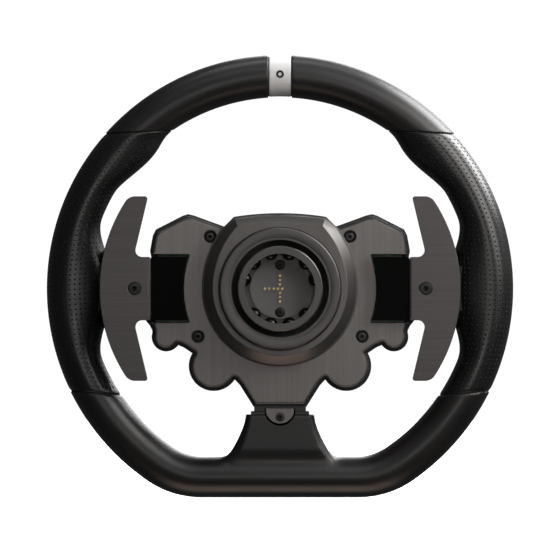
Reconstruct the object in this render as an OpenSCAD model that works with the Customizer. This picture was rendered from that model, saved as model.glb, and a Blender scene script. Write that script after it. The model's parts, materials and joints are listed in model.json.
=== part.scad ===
// Racing wheel: a flat-bottomed rim on a spoked frame, with a quick-release hub, two shift
// paddles, ten push-buttons and two thumb sticks.
// Millimetres. The origin is on the steering axis, at the mating face of the quick release.
// Seen from behind, +X is right and +Z is up. +Y runs forward from the hub to the driver.

/* [Rim] */
// Diameter over the round part of the rim
rim_d = 280; // [279:0.5:282]
// Width of the rim section, measured in the plane of the wheel
rim_w = 25.5; // [25:0.25:26]
// Thickness of the rim section, from back to front
rim_t = 29; // [28.5:0.25:30]
// Distance from the steering axis to the outside of the flat bottom
flat_drop = 125.2; // [125:0.1:125.6]
// Width of the rim section along the flat bottom
flat_w = 24.6; // [24.4:0.1:25]
// Bend radius of the bottom corners, at the middle of the section
corner_r = 43.85; // [43:0.25:45]
// Width of the silver marker at the top
marker_w = 13.7; // [12:0.1:15]

/* [Grips] */
// Angle of the upper end of each grip, from the horizontal
grip_top = 47.4; // [46.6:0.2:48.4]
// Angle of the lower end of each grip
grip_low = -29.4; // [-30:0.2:-28.8]
// Direction of the upper seam, from outside to inside
seam_top = 177; // [175:0.5:179]
// Direction of the lower seam, from outside to inside
seam_low = 185.5; // [184:0.5:187]
// How far the thumb rest swells towards the axis
thumb_swell = 8; // [6:0.5:9]
// How far the grip swells where the side spoke meets it
spoke_swell = 14.5; // [13.5:0.25:14.5]

/* [Housing] */
// Depth of the rear cover's outer face
cover_y = 30; // [29.8:0.1:30]
// Depth of the joint between the rear cover and the front shell
split_y = 44; // [43:0.5:45]
// Depth of the front shell's outer face
deck_y = 58; // [58:0.25:59]
// Black edge of the front shell that shows round the rear cover
band = 1.3; // [1:0.1:1.6]
// Radius of the hub housing
hub_r = 45.5; // [45:0.25:46]

/* [Quick release] */
// Radius of the socket that takes the base's shaft
bore_r = 20.8; // [20.6:0.05:20.9]
// Outer radius of the ring that holds the locking balls
ring_r = 25.3; // [25.2:0.05:25.3]
// Outer radius of the release collar
collar_r = 36; // [35.5:0.1:36]
// Radius of the contact disc
disc_r = 17.8; // [17:0.1:18]
// Radius of a locking ball
ball_r = 4; // [3.9:0.05:4]

/* [Paddles] */
// Steering axis to the outer edge of a paddle
paddle_x = 107.5; // [106:0.25:108]
// Height of a paddle
paddle_h = 110; // [108:0.4:112]
// Thickness of a paddle
paddle_t = 2.5; // [2.3:0.1:2.5]

/* [Controls] */
// Radius of a push-button
button_r = 5; // [4.5:0.1:5]
// Radius of a thumb stick's cap
stick_cap_r = 6.5; // [6:0.1:6.6]

/* [Hidden] */
SIDES = ["left", "right"];
$fn = 48;

// Rim: the middle line of the section is an arc, two corner arcs and a flat.
rim_y = 46;
rim_sides = 20;
outer_r = rim_d / 2;
inner_r = outer_r - rim_w;
spine_r = outer_r - rim_w / 2;
flat_z = flat_w / 2 - flat_drop;
corner_z = flat_z + corner_r;
corner_x = sqrt(pow(spine_r - corner_r, 2) - corner_z * corner_z);
corner_a = atan2(corner_z, corner_x);
marker_top = acos(marker_w / 2 / spine_r);
seam_gap = 0.14;
lean_run = 25;
marker_inset = 0.6;
grip_inset = 0.3;
marker_screw_z = 128.1;
marker_screw_y = 31.9;

// Bottom spoke
spoke_top = -75.4;
spoke_run = 31.6;
clamp_centre_z = -72.2;
clamp_r = 8.4;
clamp_screw_z = -76.9;
clamp_screw_y = 33.5;

// Frame: a round core inside the rim, on a flat plate of arms.
core_r = 5.5;
core_y = 43;
core_lap = 1.5;
channel_r = core_r + 0.6;
plate_y0 = 36;
plate_y1 = 40.5;
plate_hub_r = 36;
wire_hole_r = 17;
arm_clear = 0.25;
low_arm_w = 20;

// Housing
cover_t = 2.5;
wall = 2.4;
deck_t = 2.5;
hub_y = 14;
hub_bevel_d = 6;
hub_bevel_w = 5.4;
hub_lip_y = 19.7;
hub_cavity_r = 39;
notch_h = 40.6;
notch_r = 57.7;
cup_r = 5.3;
cup_y = 37;
cover_screw_at = [[41.7, 31], [49, -28.7]];
small_lobe = [68.2, -29];
large_lobe = [39.7, -46.4];
post_at = [[22, 24], [22, -24]];

// Quick release
bore_land = 3.8;
bore_relief = 0.5;
ball_y = 8;
ball_track_r = 21.6;
ball_angles = [75, 45, 15, -45, -75, -105, -135, 165, 135, 105];
ring_web_y = 17;
flange_y = 31.5;
flange_r = 34;
collar_y = 2;
collar_end = 24;
collar_flange_r = 38.5;
collar_bore_r = 28.9;
collar_land_y = 9.65;
disc_y = 12.5;
disc_screw_z = 14.1;
hub_bolt_r = 29;
pin_pitch = 2.54;
pins_down = [for (k = [-3:3]) if (k != 0) [0, k * pin_pitch]];
pins_across = [for (k = [-3.5:0.5]) [k * pin_pitch, 0]];

// Paddles: each is screwed to a lever that turns on a pin in the frame's ears.
paddle_y0 = 20.5;
paddle_in = 76.9;
paddle_arc_r = 95.7;
neck_h = 37.8;
lever_y0 = 23;
lever_y1 = 27;
pivot_x = 61.7;
pivot_y = 31.5;
pin_r = 1.5;
ear_z0 = 7;
ear_z1 = 10;
paddle_screw_x = 86.8;

// Controls
board_y0 = 47.5;
board_y1 = 49.1;
switch_y = 52.1;
button_at = [[55, 35], [67, 24], [67, 8], [67, -9], small_lobe];
stick_pivot_y = 52.6;
stick_base_r = 9.5;
trunnion_r = 0.8;
light_z = 35.5;
light_count = 10;
light_pitch = 5.2;

// ---- Helpers ----

function arc(c, r, a0, a1, n) = [for (k = [0:n]) c + r * [cos(a0 + (a1 - a0) * k / n), sin(a0 + (a1 - a0) * k / n)]];

function mix(a, b, t) = a + (b - a) * t;

function ease(t) = let (u = max(0, min(1, t))) u * u * (3 - 2 * u);

// An outline in the plane of the wheel, seen from behind, given depth from y0 to y1.
module slab(y0, y1) {
    translate([0, y1, 0]) rotate([90, 0, 0]) linear_extrude(y1 - y0) children();
}

// A round bar or hole that runs front to back.
module bar(p, r, y0, y1, sides = 48) {
    translate([p.x, y0, p.y]) rotate([-90, 0, 0]) cylinder(r = r, h = y1 - y0, $fn = sides);
}

// A (radius, depth) profile turned about an axis that runs front to back.
module turned(p = [0, 0]) {
    translate([p.x, 0, p.y]) rotate([-90, 0, 0]) rotate_extrude() children();
}

// The same, only from angle a0 to a1, where 0 is +X and 90 is up.
module bent(p, a0, a1) {
    translate([p.x, 0, p.y]) rotate([-90, 0, 0]) rotate_extrude(start = -a1, angle = a1 - a0) children();
}

module both_sides() {
    children();
    mirror([1, 0, 0]) children();
}

// Draws a right-hand piece on the side that is asked for.
module on_side(s) {
    if (s == "left") mirror([1, 0, 0]) children();
    else children();
}

// A socket-head screw, its head first, going in along +Y.
module cap_screw(p, y0, head_r, head_h, shank_r, y1, socket_r) {
    difference() {
        union() {
            bar(p, head_r, y0, y0 + head_h);
            bar(p, shank_r, y0 + head_h, y1);
        }
        bar(p, socket_r, y0 - 1, y0 + head_h * 0.6, 6);
    }
}

// ---- Rim sections ----

// How far the rim reaches from its middle line along a direction that leans from the radius.
function reach_in(lean) = spine_r * cos(lean) - sqrt(pow(inner_r, 2) - pow(spine_r * sin(lean), 2));
function reach_out(lean) = sqrt(pow(outer_r, 2) - pow(spine_r * sin(lean), 2)) - spine_r * cos(lean);

// The swell of a grip at the height z of its inner edge.
function thumb(z) = abs(z - 76.5) < 19 ? thumb_swell * pow(1 - pow((z - 76.5) / 19, 2), 2) : 0;
function flare(z) = abs(z) < 42 ? spoke_swell * pow(1 - pow(z / 42, 2), 1.9) : 0;
function swell(z) = thumb(z) + flare(z);

// A station is [x, z, direction of its inner side, lean, reach inwards, reach outwards].
function station(phi, lean, grip = false) =
    let (x = spine_r * cos(phi), z = spine_r * sin(phi), dir = phi + 180 + lean)
    let (a = reach_in(lean))
    [x, z, dir, lean, a + (grip ? swell(z + a * sin(dir)) : 0), reach_out(lean)];

function mirrored(s) = [-s[0], s[1], 180 - s[2], -s[3], s[4], s[5]];
function backwards(list) = [for (k = [len(list) - 1:-1:0]) list[k]];

// A grip's section leans so that its ends lie along the seams.
grip_stations = [for (k = [0:28])
    let (t = k / 28, phi = mix(grip_low + seam_gap, grip_top - seam_gap, t))
    station(phi, mix(seam_low, seam_top, t) - phi - 180, true)];

top_stations = [for (k = [0:14])
    let (phi = mix(grip_top + seam_gap, marker_top - seam_gap, k / 14))
    station(phi, (seam_top - grip_top - 180) * ease(1 - (phi - grip_top) / lean_run)
        + (90 - marker_top) * ease((phi - 75) / 11))];

bottom_right = [
    for (k = [0:5]) [corner_x * k / 5, flat_z, 90, 0, flat_w / 2, flat_w / 2],
    for (k = [1:12]) let (a = mix(-90, corner_a, k / 12), h = mix(flat_w, rim_w, k / 12) / 2)
        [corner_x + corner_r * cos(a), corner_z + corner_r * sin(a), a + 180, 0, h, h],
    for (k = [1:9]) let (phi = mix(corner_a, grip_low - seam_gap, k / 9))
        station(phi, (seam_low - grip_low - 180) * ease(1 - (grip_low - phi) / lean_run))
];
bottom_stations = concat(backwards([for (k = [1:len(bottom_right) - 1]) mirrored(bottom_right[k])]), bottom_right);

marker_stations = [for (k = [0:4])
    let (x = mix(marker_w / 2 - 0.2, 0.2 - marker_w / 2, k / 4), z = sqrt(pow(spine_r, 2) - x * x))
    [x, z, 270, 0, z - sqrt(pow(inner_r, 2) - x * x), sqrt(pow(outer_r, 2) - x * x) - z]];

function section(s, inset) = [for (i = [0:rim_sides - 1])
    let (c = cos(360 * i / rim_sides), n = sin(360 * i / rim_sides))
    let (d = ((c > 0 ? s[4] : s[5]) - inset) * c)
    [s[0] + cos(s[2]) * d, rim_y + (rim_t / 2 - inset) * n, s[1] + sin(s[2]) * d]];

function channel(s) = [for (i = [0:rim_sides - 1])
    let (d = channel_r / cos(s[3]) * cos(360 * i / rim_sides))
    [s[0] + cos(s[2]) * d, core_y + channel_r * sin(360 * i / rim_sides), s[1] + sin(s[2]) * d]];

// A length of rim covering: an outer skin, and a channel that the frame's core runs through.
module covering(stations, inset = 0) {
    n = len(stations);
    m = rim_sides;
    points = [for (s = stations) each section(s, inset), for (s = stations) each channel(s)];
    skin = [for (k = [0:n - 2], i = [0:m - 1]) let (j = (i + 1) % m, a = k * m, b = a + m)
        each [[a + i, a + j, b + j], [a + i, b + j, b + i]]];
    hollow = [for (f = skin) [f[2] + n * m, f[1] + n * m, f[0] + n * m]];
    near = [for (i = [0:m - 1]) let (j = (i + 1) % m, h = n * m)
        each [[j, i, h + i], [j, h + i, h + j]]];
    far = [for (f = near) [f[2], f[1], f[0]] + (n - 1) * m * [1, 1, 1]];
    polyhedron(points = points, faces = concat(skin, hollow, near, far), convexity = 8);
}

// ---- Frame ----

function arm(grow, end) = let (h = [14, 10.5, 12, 16]) [
    [20, -h[0] - grow], [70, -h[1] - grow], [100, -h[2] - grow], [end, -h[3] - grow],
    [end, h[3] + grow], [100, h[2] + grow], [70, h[1] + grow], [20, h[0] + grow]
];

// Slightly thinner bars round the corners run a little way into the others.
module core() {
    bent([0, 0], corner_a, 180 - corner_a) translate([spine_r, core_y]) circle(core_r);
    both_sides() bent([corner_x, corner_z], -90 - core_lap, corner_a + core_lap)
        translate([corner_r, core_y]) circle(core_r - 0.15);
    translate([-corner_x, core_y, flat_z]) rotate([0, 90, 0]) cylinder(r = core_r, h = 2 * corner_x);
}

// One of the two ears on each side that carry a lever's pin.
module ear(z0) {
    translate([pivot_x, 0, z0]) difference() {
        union() {
            translate([-3, pivot_y, 0]) cube([6, plate_y0 - pivot_y + 0.5, ear_z1 - ear_z0]);
            translate([0, pivot_y, 0]) cylinder(r = 3, h = ear_z1 - ear_z0);
        }
        translate([0, pivot_y, -1]) cylinder(r = pin_r + 0.01, h = 8);
    }
}

module wheel_frame() {
    color("#77797c") difference() {
        union() {
            core();
            slab(plate_y0, plate_y1) union() {
                circle(plate_hub_r);
                both_sides() polygon(arm(0, 125));
                translate([-low_arm_w / 2, flat_z]) square([low_arm_w, -flat_z - 20]);
            }
            both_sides() for (z = [-ear_z1, ear_z0]) ear(z);
        }
        bar([0, 0], wire_hole_r, plate_y0 - 1, plate_y1 + 1);
        for (a = [30:60:330]) bar(hub_bolt_r * [cos(a), sin(a)], 2.05, plate_y0 - 1, plate_y1 + 1);
        bar([0, marker_screw_z], 1.52, core_y - core_r - 1, core_y - 1.5);
        bar([0, clamp_screw_z], 1.52, plate_y0 - 1, plate_y1 + 1);
    }
}

// ---- Rim coverings ----

module rim_top() {
    color("#1c1c1e") covering(top_stations);
}

module rim_grip() {
    color("#18181a") difference() {
        covering(grip_stations, grip_inset);
        slab(plate_y0 - 0.1, plate_y1 + 0.1) polygon(arm(arm_clear, 126));
    }
}

module centre_marker() {
    color("#c9cbcd") difference() {
        covering(marker_stations, marker_inset);
        bar([0, marker_screw_z], 2.5, 28, marker_screw_y + 2.1);
        bar([0, marker_screw_z], 1.6, 28, core_y);
    }
}

// Half width of the bottom spoke at a drop below its top: it widens as it nears the rim.
function spoke_half(drop) = 20.4 + 0.086 * pow(drop, 1.5) + 0.07 * pow(max(0, drop - 21), 2);

// A thin slice of the bottom spoke, with bevelled edges.
module spoke_slice(drop) {
    w = spoke_half(drop);
    y0 = mix(32.4, 33.3, drop / spoke_run);
    y1 = mix(51.5, 58.5, drop / spoke_run);
    translate([0, 0, spoke_top - drop]) linear_extrude(0.02)
        polygon([[-w, y0 + 2.5], [3 - w, y0], [w - 3, y0], [w, y0 + 2.5],
            [w, y1 - 2.5], [w - 3, y1], [3 - w, y1], [-w, y1 - 2.5]]);
}

module rim_bottom() {
    steps = 12;
    color("#1c1c1e") difference() {
        union() {
            covering(bottom_stations);
            for (k = [0:steps - 1]) hull() {
                spoke_slice(spoke_run * k / steps);
                spoke_slice(spoke_run * (k + 1) / steps);
            }
            translate([-17.4, 33, spoke_top]) cube([34.8, 18, 1.9]);
            translate([-15.5, 34, spoke_top + 1.8]) cube([31, 16, 2.2]);
        }
        translate([-low_arm_w / 2 - arm_clear, plate_y0 - 0.1, flat_z]) cube([low_arm_w + 2 * arm_clear, 4.7, 50]);
        intersection() {
            bar([0, clamp_centre_z - 0.4], clamp_r + 0.9, 30, plate_y0);
            translate([-10, 30, -90]) cube([20, 10, 20]);
        }
        bar([0, clamp_screw_z], 1.6, plate_y0, 44);
    }
}

// The covering of a side spoke: its outer end follows the swell of the grip.
module side_spoke() {
    color("#1c1c1e") difference() {
        slab(33.5, 52) polygon([[79, -13.8], [86, -16], [94, -19.5], [104.1, -24], [102.6, -18],
            [100.9, -10], [99.7, 0], [100.9, 10], [102.6, 18], [104.1, 24], [94, 19.5], [86, 16], [79, 13.8]]);
        slab(plate_y0 - 0.1, plate_y1 + 0.1) polygon(arm(arm_clear, 126));
    }
}

module spoke_clamp() {
    color("#5c5e62") difference() {
        intersection() {
            bar([0, clamp_centre_z], clamp_r, 33, plate_y0);
            translate([-10, 30, -90]) cube([20, 10, 90 - 71.7]);
        }
        bar([0, clamp_screw_z], 3.1, 30, clamp_screw_y + 1.8);
        bar([0, clamp_screw_z], 1.6, 30, 40);
    }
}

module trim_screws() {
    color("#161616") {
        cap_screw([0, marker_screw_z], marker_screw_y, 2.4, 2.1, 1.5, marker_screw_y + 9, 1.45);
        cap_screw([0, clamp_screw_z], clamp_screw_y, 2.7, 1.8, 1.5, clamp_screw_y + 9, 1.7);
    }
}

// ---- Housing ----

// The right half of the housing's outline, with its two lobes for the lowest controls.
module half_outline() {
    polygon([each backwards(arc([0, -129], 174.2, 90 - 9.12, 90, 6)), [33.5, 37.2], [51.7, 43.8],
        [55.1, 44.6], [58.3, 43.6], [74.4, 35.4], [76.2, 31.8], [77.9, 22.5], [77.2, 18.9],
        [78.6, 12], [78.6, -13], [80.6, -17], [80.5, -19.2], [78, -22.2], [76.6, -25], [76.4, -28],
        small_lobe, [62, -33.4], [59.6, -34.5], [57.7, -35.3], [52.7, -38.7], large_lobe,
        [26.9, -54.8], [24, -57.9], [15.6, -71.2], [0, -71.2]]);
    translate(small_lobe) circle(8.7);
    translate(large_lobe) circle(15);
}

module housing_outline(inset) {
    offset(delta = -inset) offset(r = 1.2) offset(r = -1.2) union() both_sides() half_outline();
}

module front_shell() {
    color("#1a1a1c") difference() {
        union() {
            difference() {
                slab(split_y, deck_y) housing_outline(0);
                slab(split_y - 1, deck_y - deck_t) housing_outline(wall);
            }
            both_sides() {
                for (p = cover_screw_at) bar(p, 4, cup_y + 0.05, deck_y - 1);
                for (p = post_at) bar(p, 2.2, board_y1, deck_y - 1);
            }
        }
        both_sides() {
            for (p = cover_screw_at) bar(p, 1.52, cup_y - 1, cup_y + 10);
            for (p = button_at) bar(p, button_r + 0.15, deck_y - deck_t - 1, deck_y + 1);
            bar(large_lobe, stick_base_r, deck_y - deck_t - 1, deck_y + 1);
        }
        bar([0, 0], 8.1, deck_y - deck_t - 1, deck_y + 1);
        translate([-27.2, deck_y - deck_t - 1, light_z - 2.7]) cube([54.4, deck_t + 2, 5.4]);
    }
}

module rear_cover() {
    color("#4a4b4e") difference() {
        union() {
            difference() {
                slab(cover_y, split_y) housing_outline(band);
                slab(cover_y + cover_t, split_y + 1) housing_outline(band + wall);
            }
            both_sides() for (p = cover_screw_at) bar(p, cup_r, cover_y + 1, cup_y);
        }
        bar([0, 0], hub_cavity_r + 0.2, cover_y - 1, cover_y + cover_t + 1);
        both_sides() {
            slab(cover_y - 1, split_y + 1) difference() {
                translate([40, -notch_h / 2]) square([60, notch_h]);
                circle(notch_r);
            }
            for (p = cover_screw_at) {
                bar(p, 3.8, cover_y - 1, cover_y + 4);
                bar(p, 1.7, cover_y, cup_y + 1);
            }
        }
        translate([-low_arm_w / 2 - 0.3, plate_y0 - 0.1, -80]) cube([low_arm_w + 0.6, 4.7, 30]);
    }
}

module cover_screws() {
    color("#161616") both_sides() for (p = cover_screw_at) cap_screw(p, 31.2, 2.75, 2.75, 1.5, 45, 1.4);
}

// The hub housing's outline: a half circle below, flatter sides and a shallow arch on top.
function hub_outline(inset) = [
    each arc([0, 0], hub_r - inset, 180, 360, 24),
    each arc([hub_r - 59.8, 0], 59.8 - inset, 4, 36.8 + 1.2 * inset, 8),
    each arc([0, -129.4], 172.9 - 0.75 * inset, 81.05 + 0.06 * inset, 98.95 - 0.06 * inset, 8),
    each arc([59.8 - hub_r, 0], 59.8 - inset, 143.2 - 1.2 * inset, 176, 8)
];

module hub_housing() {
    color("#4a4b4e") difference() {
        hull() {
            slab(hub_y, hub_y + 0.01) polygon(hub_outline(hub_bevel_w));
            slab(hub_y + hub_bevel_d, cover_y) polygon(hub_outline(0));
        }
        bar([0, 0], collar_r + 0.3, hub_y - 1, hub_lip_y + 1);
        bar([0, 0], hub_cavity_r, hub_lip_y, cover_y + 1);
    }
}

module centre_cap() {
    color("#141416") turned() polygon([[0, 55], [8, 55], [8, deck_y], [20, deck_y], [20, deck_y + 1.7],
        [19.2, deck_y + 2.5], [0, deck_y + 2.5]]);
}

module light_bar() {
    color("#26272a") union() {
        translate([-27, 54, light_z - 2.5]) cube([54, deck_y + 0.4 - 54, 5]);
        translate([-28.4, 54, light_z - 3.6]) cube([56.8, deck_y - deck_t - 0.1 - 54, 7.2]);
    }
}

// The circuit board, with a switch behind each button and a row of shift lights.
module main_board() {
    color("#1d4a2c") difference() {
        union() {
            slab(board_y0, board_y1) housing_outline(4.2);
            both_sides() for (p = button_at) translate([p.x - 2, board_y1 - 0.1, p.y - 2])
                cube([4, switch_y - board_y1 + 0.1, 4]);
            for (k = [0:light_count - 1]) translate([(k - (light_count - 1) / 2) * light_pitch - 1.2,
                board_y1 - 0.1, light_z - 1.2]) cube([2.4, 1.5, 2.4]);
            translate([-7, 44.8, -3]) cube([14, board_y0 - 44.7, 6]);
        }
        both_sides() for (p = cover_screw_at) bar(p, 4.3, board_y0 - 1, board_y1 + 1);
    }
}

// ---- Buttons and thumb sticks ----

module button(p) {
    color("#2a2a2c") turned(p) polygon([[0, 53.5], [button_r + 0.8, 53.5], [button_r + 0.8, 55.3],
        [button_r, 55.3], [button_r, 60.3], [button_r - 0.6, 61], [0, 61]]);
}

module stick_bases() {
    color("#2c2c2e") both_sides() difference() {
        bar(large_lobe, stick_base_r, board_y1, 54.5);
        bar(large_lobe, 7.5, 50.2, 56);
        translate([large_lobe.x - 12, stick_pivot_y, large_lobe.y]) rotate([0, 90, 0])
            cylinder(r = trunnion_r + 0.04, h = 24);
    }
}

// The outer ring of a thumb stick: it tilts up and down on two stubs in the base.
module stick_yoke() {
    color("#8d9094") translate([large_lobe.x, stick_pivot_y, large_lobe.y]) difference() {
        union() {
            rotate([90, 0, 0]) cylinder(r = 6.5, h = 1.8, center = true);
            rotate([0, 90, 0]) cylinder(r = trunnion_r, h = 17, center = true);
        }
        rotate([90, 0, 0]) cylinder(r = 4.7, h = 4, center = true);
        cylinder(r = trunnion_r + 0.04, h = 20, center = true);
    }
}

// The stalk of a thumb stick: it tilts sideways on two stubs in the yoke.
module stick_arm() {
    color("#8d9094") translate([large_lobe.x, stick_pivot_y, large_lobe.y]) union() {
        rotate([-90, 0, 0]) translate([0, 0, -1]) cylinder(r = 3, h = 3);
        rotate([-90, 0, 0]) cylinder(r = 1.8, h = 8.2);
        cylinder(r = trunnion_r, h = 12, center = true);
    }
}

// The cap slides on the stalk, so that it can be pressed.
module stick_cap() {
    color("#202022") difference() {
        turned(large_lobe) polygon([[0, 58.6], [4, 58.6], [stick_cap_r, 59.6], [stick_cap_r, 62.2],
            [stick_cap_r - 0.8, 63], [3.5, 62.4], [0, 62.2]]);
        bar(large_lobe, 1.84, 58, 61.6);
    }
}

// ---- Paddles ----

module paddle_outline() {
    intersection() {
        offset(r = 7) offset(r = -7) intersection() {
            translate([paddle_x - paddle_arc_r, 0]) circle(paddle_arc_r, $fn = 120);
            translate([20, -paddle_h / 2]) square([100, paddle_h]);
        }
        offset(r = -4) offset(r = 5.5) offset(delta = -1.5) polygon([[150, -paddle_h / 2],
            [78.6, -paddle_h / 2], [87.2, -neck_h / 2], [paddle_in, -neck_h / 2],
            [paddle_in, neck_h / 2], [87.2, neck_h / 2], [78.6, paddle_h / 2], [150, paddle_h / 2]]);
    }
}

module paddle() {
    color("#505256") difference() {
        slab(paddle_y0, paddle_y0 + paddle_t) paddle_outline();
        translate([paddle_in - 2, paddle_y0 - 2, -30]) rotate([0, 0, -45]) cube([4, 2.8, 60]);
        bar([paddle_screw_x, 0], 2.1, 19, 24);
        translate([paddle_screw_x, paddle_y0 - 0.1, 0]) rotate([-90, 0, 0]) cylinder(r1 = 4, r2 = 2.05, h = 2.1);
    }
}

module lever() {
    color("#141414") difference() {
        union() {
            slab(21.9, lever_y1) difference() {
                translate([45, -neck_h / 2]) square([paddle_in - 0.2 - 45, neck_h]);
                circle(notch_r + 0.5);
            }
            translate([paddle_in - 1, lever_y0, -13]) cube([93 - paddle_in + 1, lever_y1 - lever_y0, 26]);
            translate([pivot_x - 3.6, lever_y1 - 1, -ear_z0 + 0.2]) cube([7.2, pivot_y - lever_y1 + 1, 2 * ear_z0 - 0.4]);
            translate([pivot_x, pivot_y, -ear_z0 + 0.2]) cylinder(r = 3.6, h = 2 * ear_z0 - 0.4);
        }
        translate([pivot_x, pivot_y, -20]) cylinder(r = pin_r + 0.04, h = 40);
        bar([paddle_screw_x, 0], 2.03, 20, 30);
    }
}

module paddle_screw() {
    color("#161616") difference() {
        union() {
            translate([paddle_screw_x, paddle_y0 + 0.05, 0]) rotate([-90, 0, 0]) cylinder(r1 = 3.85, r2 = 2, h = 1.9);
            bar([paddle_screw_x, 0], 2, paddle_y0 + 1.9, lever_y1);
        }
        bar([paddle_screw_x, 0], 1.3, 19, paddle_y0 + 1.6, 6);
    }
}

module lever_pins() {
    color("#a9abae") both_sides() translate([pivot_x, pivot_y, -ear_z1]) cylinder(r = pin_r, h = 2 * ear_z1);
}

module paddle_switches() {
    color("#222226") both_sides() {
        translate([68, 30, -4]) cube([6.5, plate_y0 - 30, 8]);
        translate([72, 29.2, -1]) cube([1.4, 0.9, 2]);
    }
}

// ---- Quick release ----

// The shaft is guided by a short land at the mouth. Behind it the socket is a little wider.
module hub_ring() {
    relief_r = bore_r + bore_relief;
    color("#2a2b2e") difference() {
        turned() polygon([[8, ring_web_y], [relief_r, ring_web_y], [relief_r, bore_land],
            [bore_r, bore_land], [bore_r, 0], [ring_r - 0.6, 0], [ring_r, 0.6],
            [ring_r, flange_y], [flange_r, flange_y], [flange_r, plate_y0], [wire_hole_r, plate_y0],
            [wire_hole_r, ring_web_y + 4.5], [8, ring_web_y + 4.5]]);
        for (a = ball_angles) rotate([0, -a, 0]) translate([16, ball_y, 0]) rotate([0, 90, 0])
            cylinder(r = ball_r + 0.05, h = 12);
        for (a = [30:60:330]) bar(hub_bolt_r * [cos(a), sin(a)], 2.02, flange_y + 0.8, plate_y0 + 1);
        for (z = [-disc_screw_z, disc_screw_z]) bar([0, z], 1.27, ring_web_y - 1, ring_web_y + 6);
    }
}

module locking_ball(k) {
    a = ball_angles[k - 1];
    color("#8f8f8f") translate([ball_track_r * cos(a), ball_y, ball_track_r * sin(a)]) sphere(ball_r);
}

module release_collar() {
    color("#232426") turned() polygon([[30.4, collar_y], each arc([collar_r - 1, collar_y + 1], 1, 270, 360, 4),
        [collar_r, 20.1], [collar_flange_r, 20.1], [collar_flange_r, collar_end], [ring_r + 0.1, collar_end],
        [ring_r + 0.1, collar_land_y], [collar_bore_r, collar_land_y], [collar_bore_r, collar_y + 1.5]]);
}

// A wire spring between the collar and the hub's flange, with closed ends.
module collar_spring() {
    wire = 0.6;
    mean = 30.5;
    turns = 3.5;
    steps = 84;
    m = 6;
    room = flange_y - collar_end - 0.1 - 2 * wire;
    function rise(t) = room * ease((t * turns - 0.6) / (turns - 1.2));
    points = [for (k = [0:steps], i = [0:m - 1]) let (t = k / steps, a = 360 * turns * t, b = 360 * i / m)
        let (r = mean + wire * cos(b))
        [r * cos(a), collar_end + 0.05 + wire + rise(t) * 0.62 + 1.9 * t + wire * sin(b), r * sin(a)]];
    skin = [for (k = [0:steps - 1], i = [0:m - 1]) let (j = (i + 1) % m, a = k * m, b = a + m)
        each [[a + j, a + i, b + i], [a + j, b + i, b + j]]];
    color("#9a9ca0") polyhedron(points = points, convexity = 10, faces = concat(skin,
        [[for (i = [0:m - 1]) i], [for (i = [m - 1:-1:0]) steps * m + i]]));
}

module contact_disc() {
    color("#3a3b3e") difference() {
        bar([0, 0], disc_r, disc_y, ring_web_y);
        for (p = concat(pins_down, pins_across)) bar(p, 0.72, disc_y - 1, disc_y + 3);
        for (z = [-disc_screw_z, disc_screw_z]) {
            bar([0, z], 3, disc_y - 1, disc_y + 2.5);
            bar([0, z], 1.4, disc_y, ring_web_y + 1);
        }
    }
}

module contact_pins() {
    color("#c8a24c") for (p = concat(pins_down, pins_across)) bar(p, 0.7, disc_y - 0.3, disc_y + 3);
}

module disc_screws() {
    color("#161616") for (z = [-disc_screw_z, disc_screw_z])
        cap_screw([0, z], disc_y + 0.1, 2.87, 2.4, 1.25, ring_web_y + 4, 1.4);
}

module hub_bolts() {
    color("#2b2b2d") for (a = [30:60:330]) rotate([0, -a, 0]) difference() {
        union() {
            bar([hub_bolt_r, 0], 3.5, plate_y1, plate_y1 + 4);
            bar([hub_bolt_r, 0], 2, flange_y + 1, plate_y1);
        }
        bar([hub_bolt_r, 0], 1.7, plate_y1 + 1.8, plate_y1 + 5, 6);
    }
}

// ---- Nodes ----

wheel_frame();
centre_marker();
rim_bottom();
front_shell();
rear_cover();
hub_housing();
centre_cap();
light_bar();
main_board();
stick_bases();
lever_pins();
paddle_switches();
hub_ring();
release_collar();
collar_spring();
contact_disc();
contact_pins();
disc_screws();
hub_bolts();
spoke_clamp();
cover_screws();
trim_screws();
for (s = SIDES) {
    on_side(s) rim_top();
    on_side(s) rim_grip();
    on_side(s) side_spoke();
    on_side(s) paddle();
    on_side(s) lever();
    on_side(s) paddle_screw();
    on_side(s) stick_yoke();
    on_side(s) stick_arm();
    on_side(s) stick_cap();
    for (k = [1:5]) on_side(s) button(button_at[k - 1]);
}
for (k = [1:10]) locking_ball(k);
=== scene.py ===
import json
import math

import bmesh
import bpy
import numpy as np
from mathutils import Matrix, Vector
from mathutils.geometry import tessellate_polygon

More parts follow.
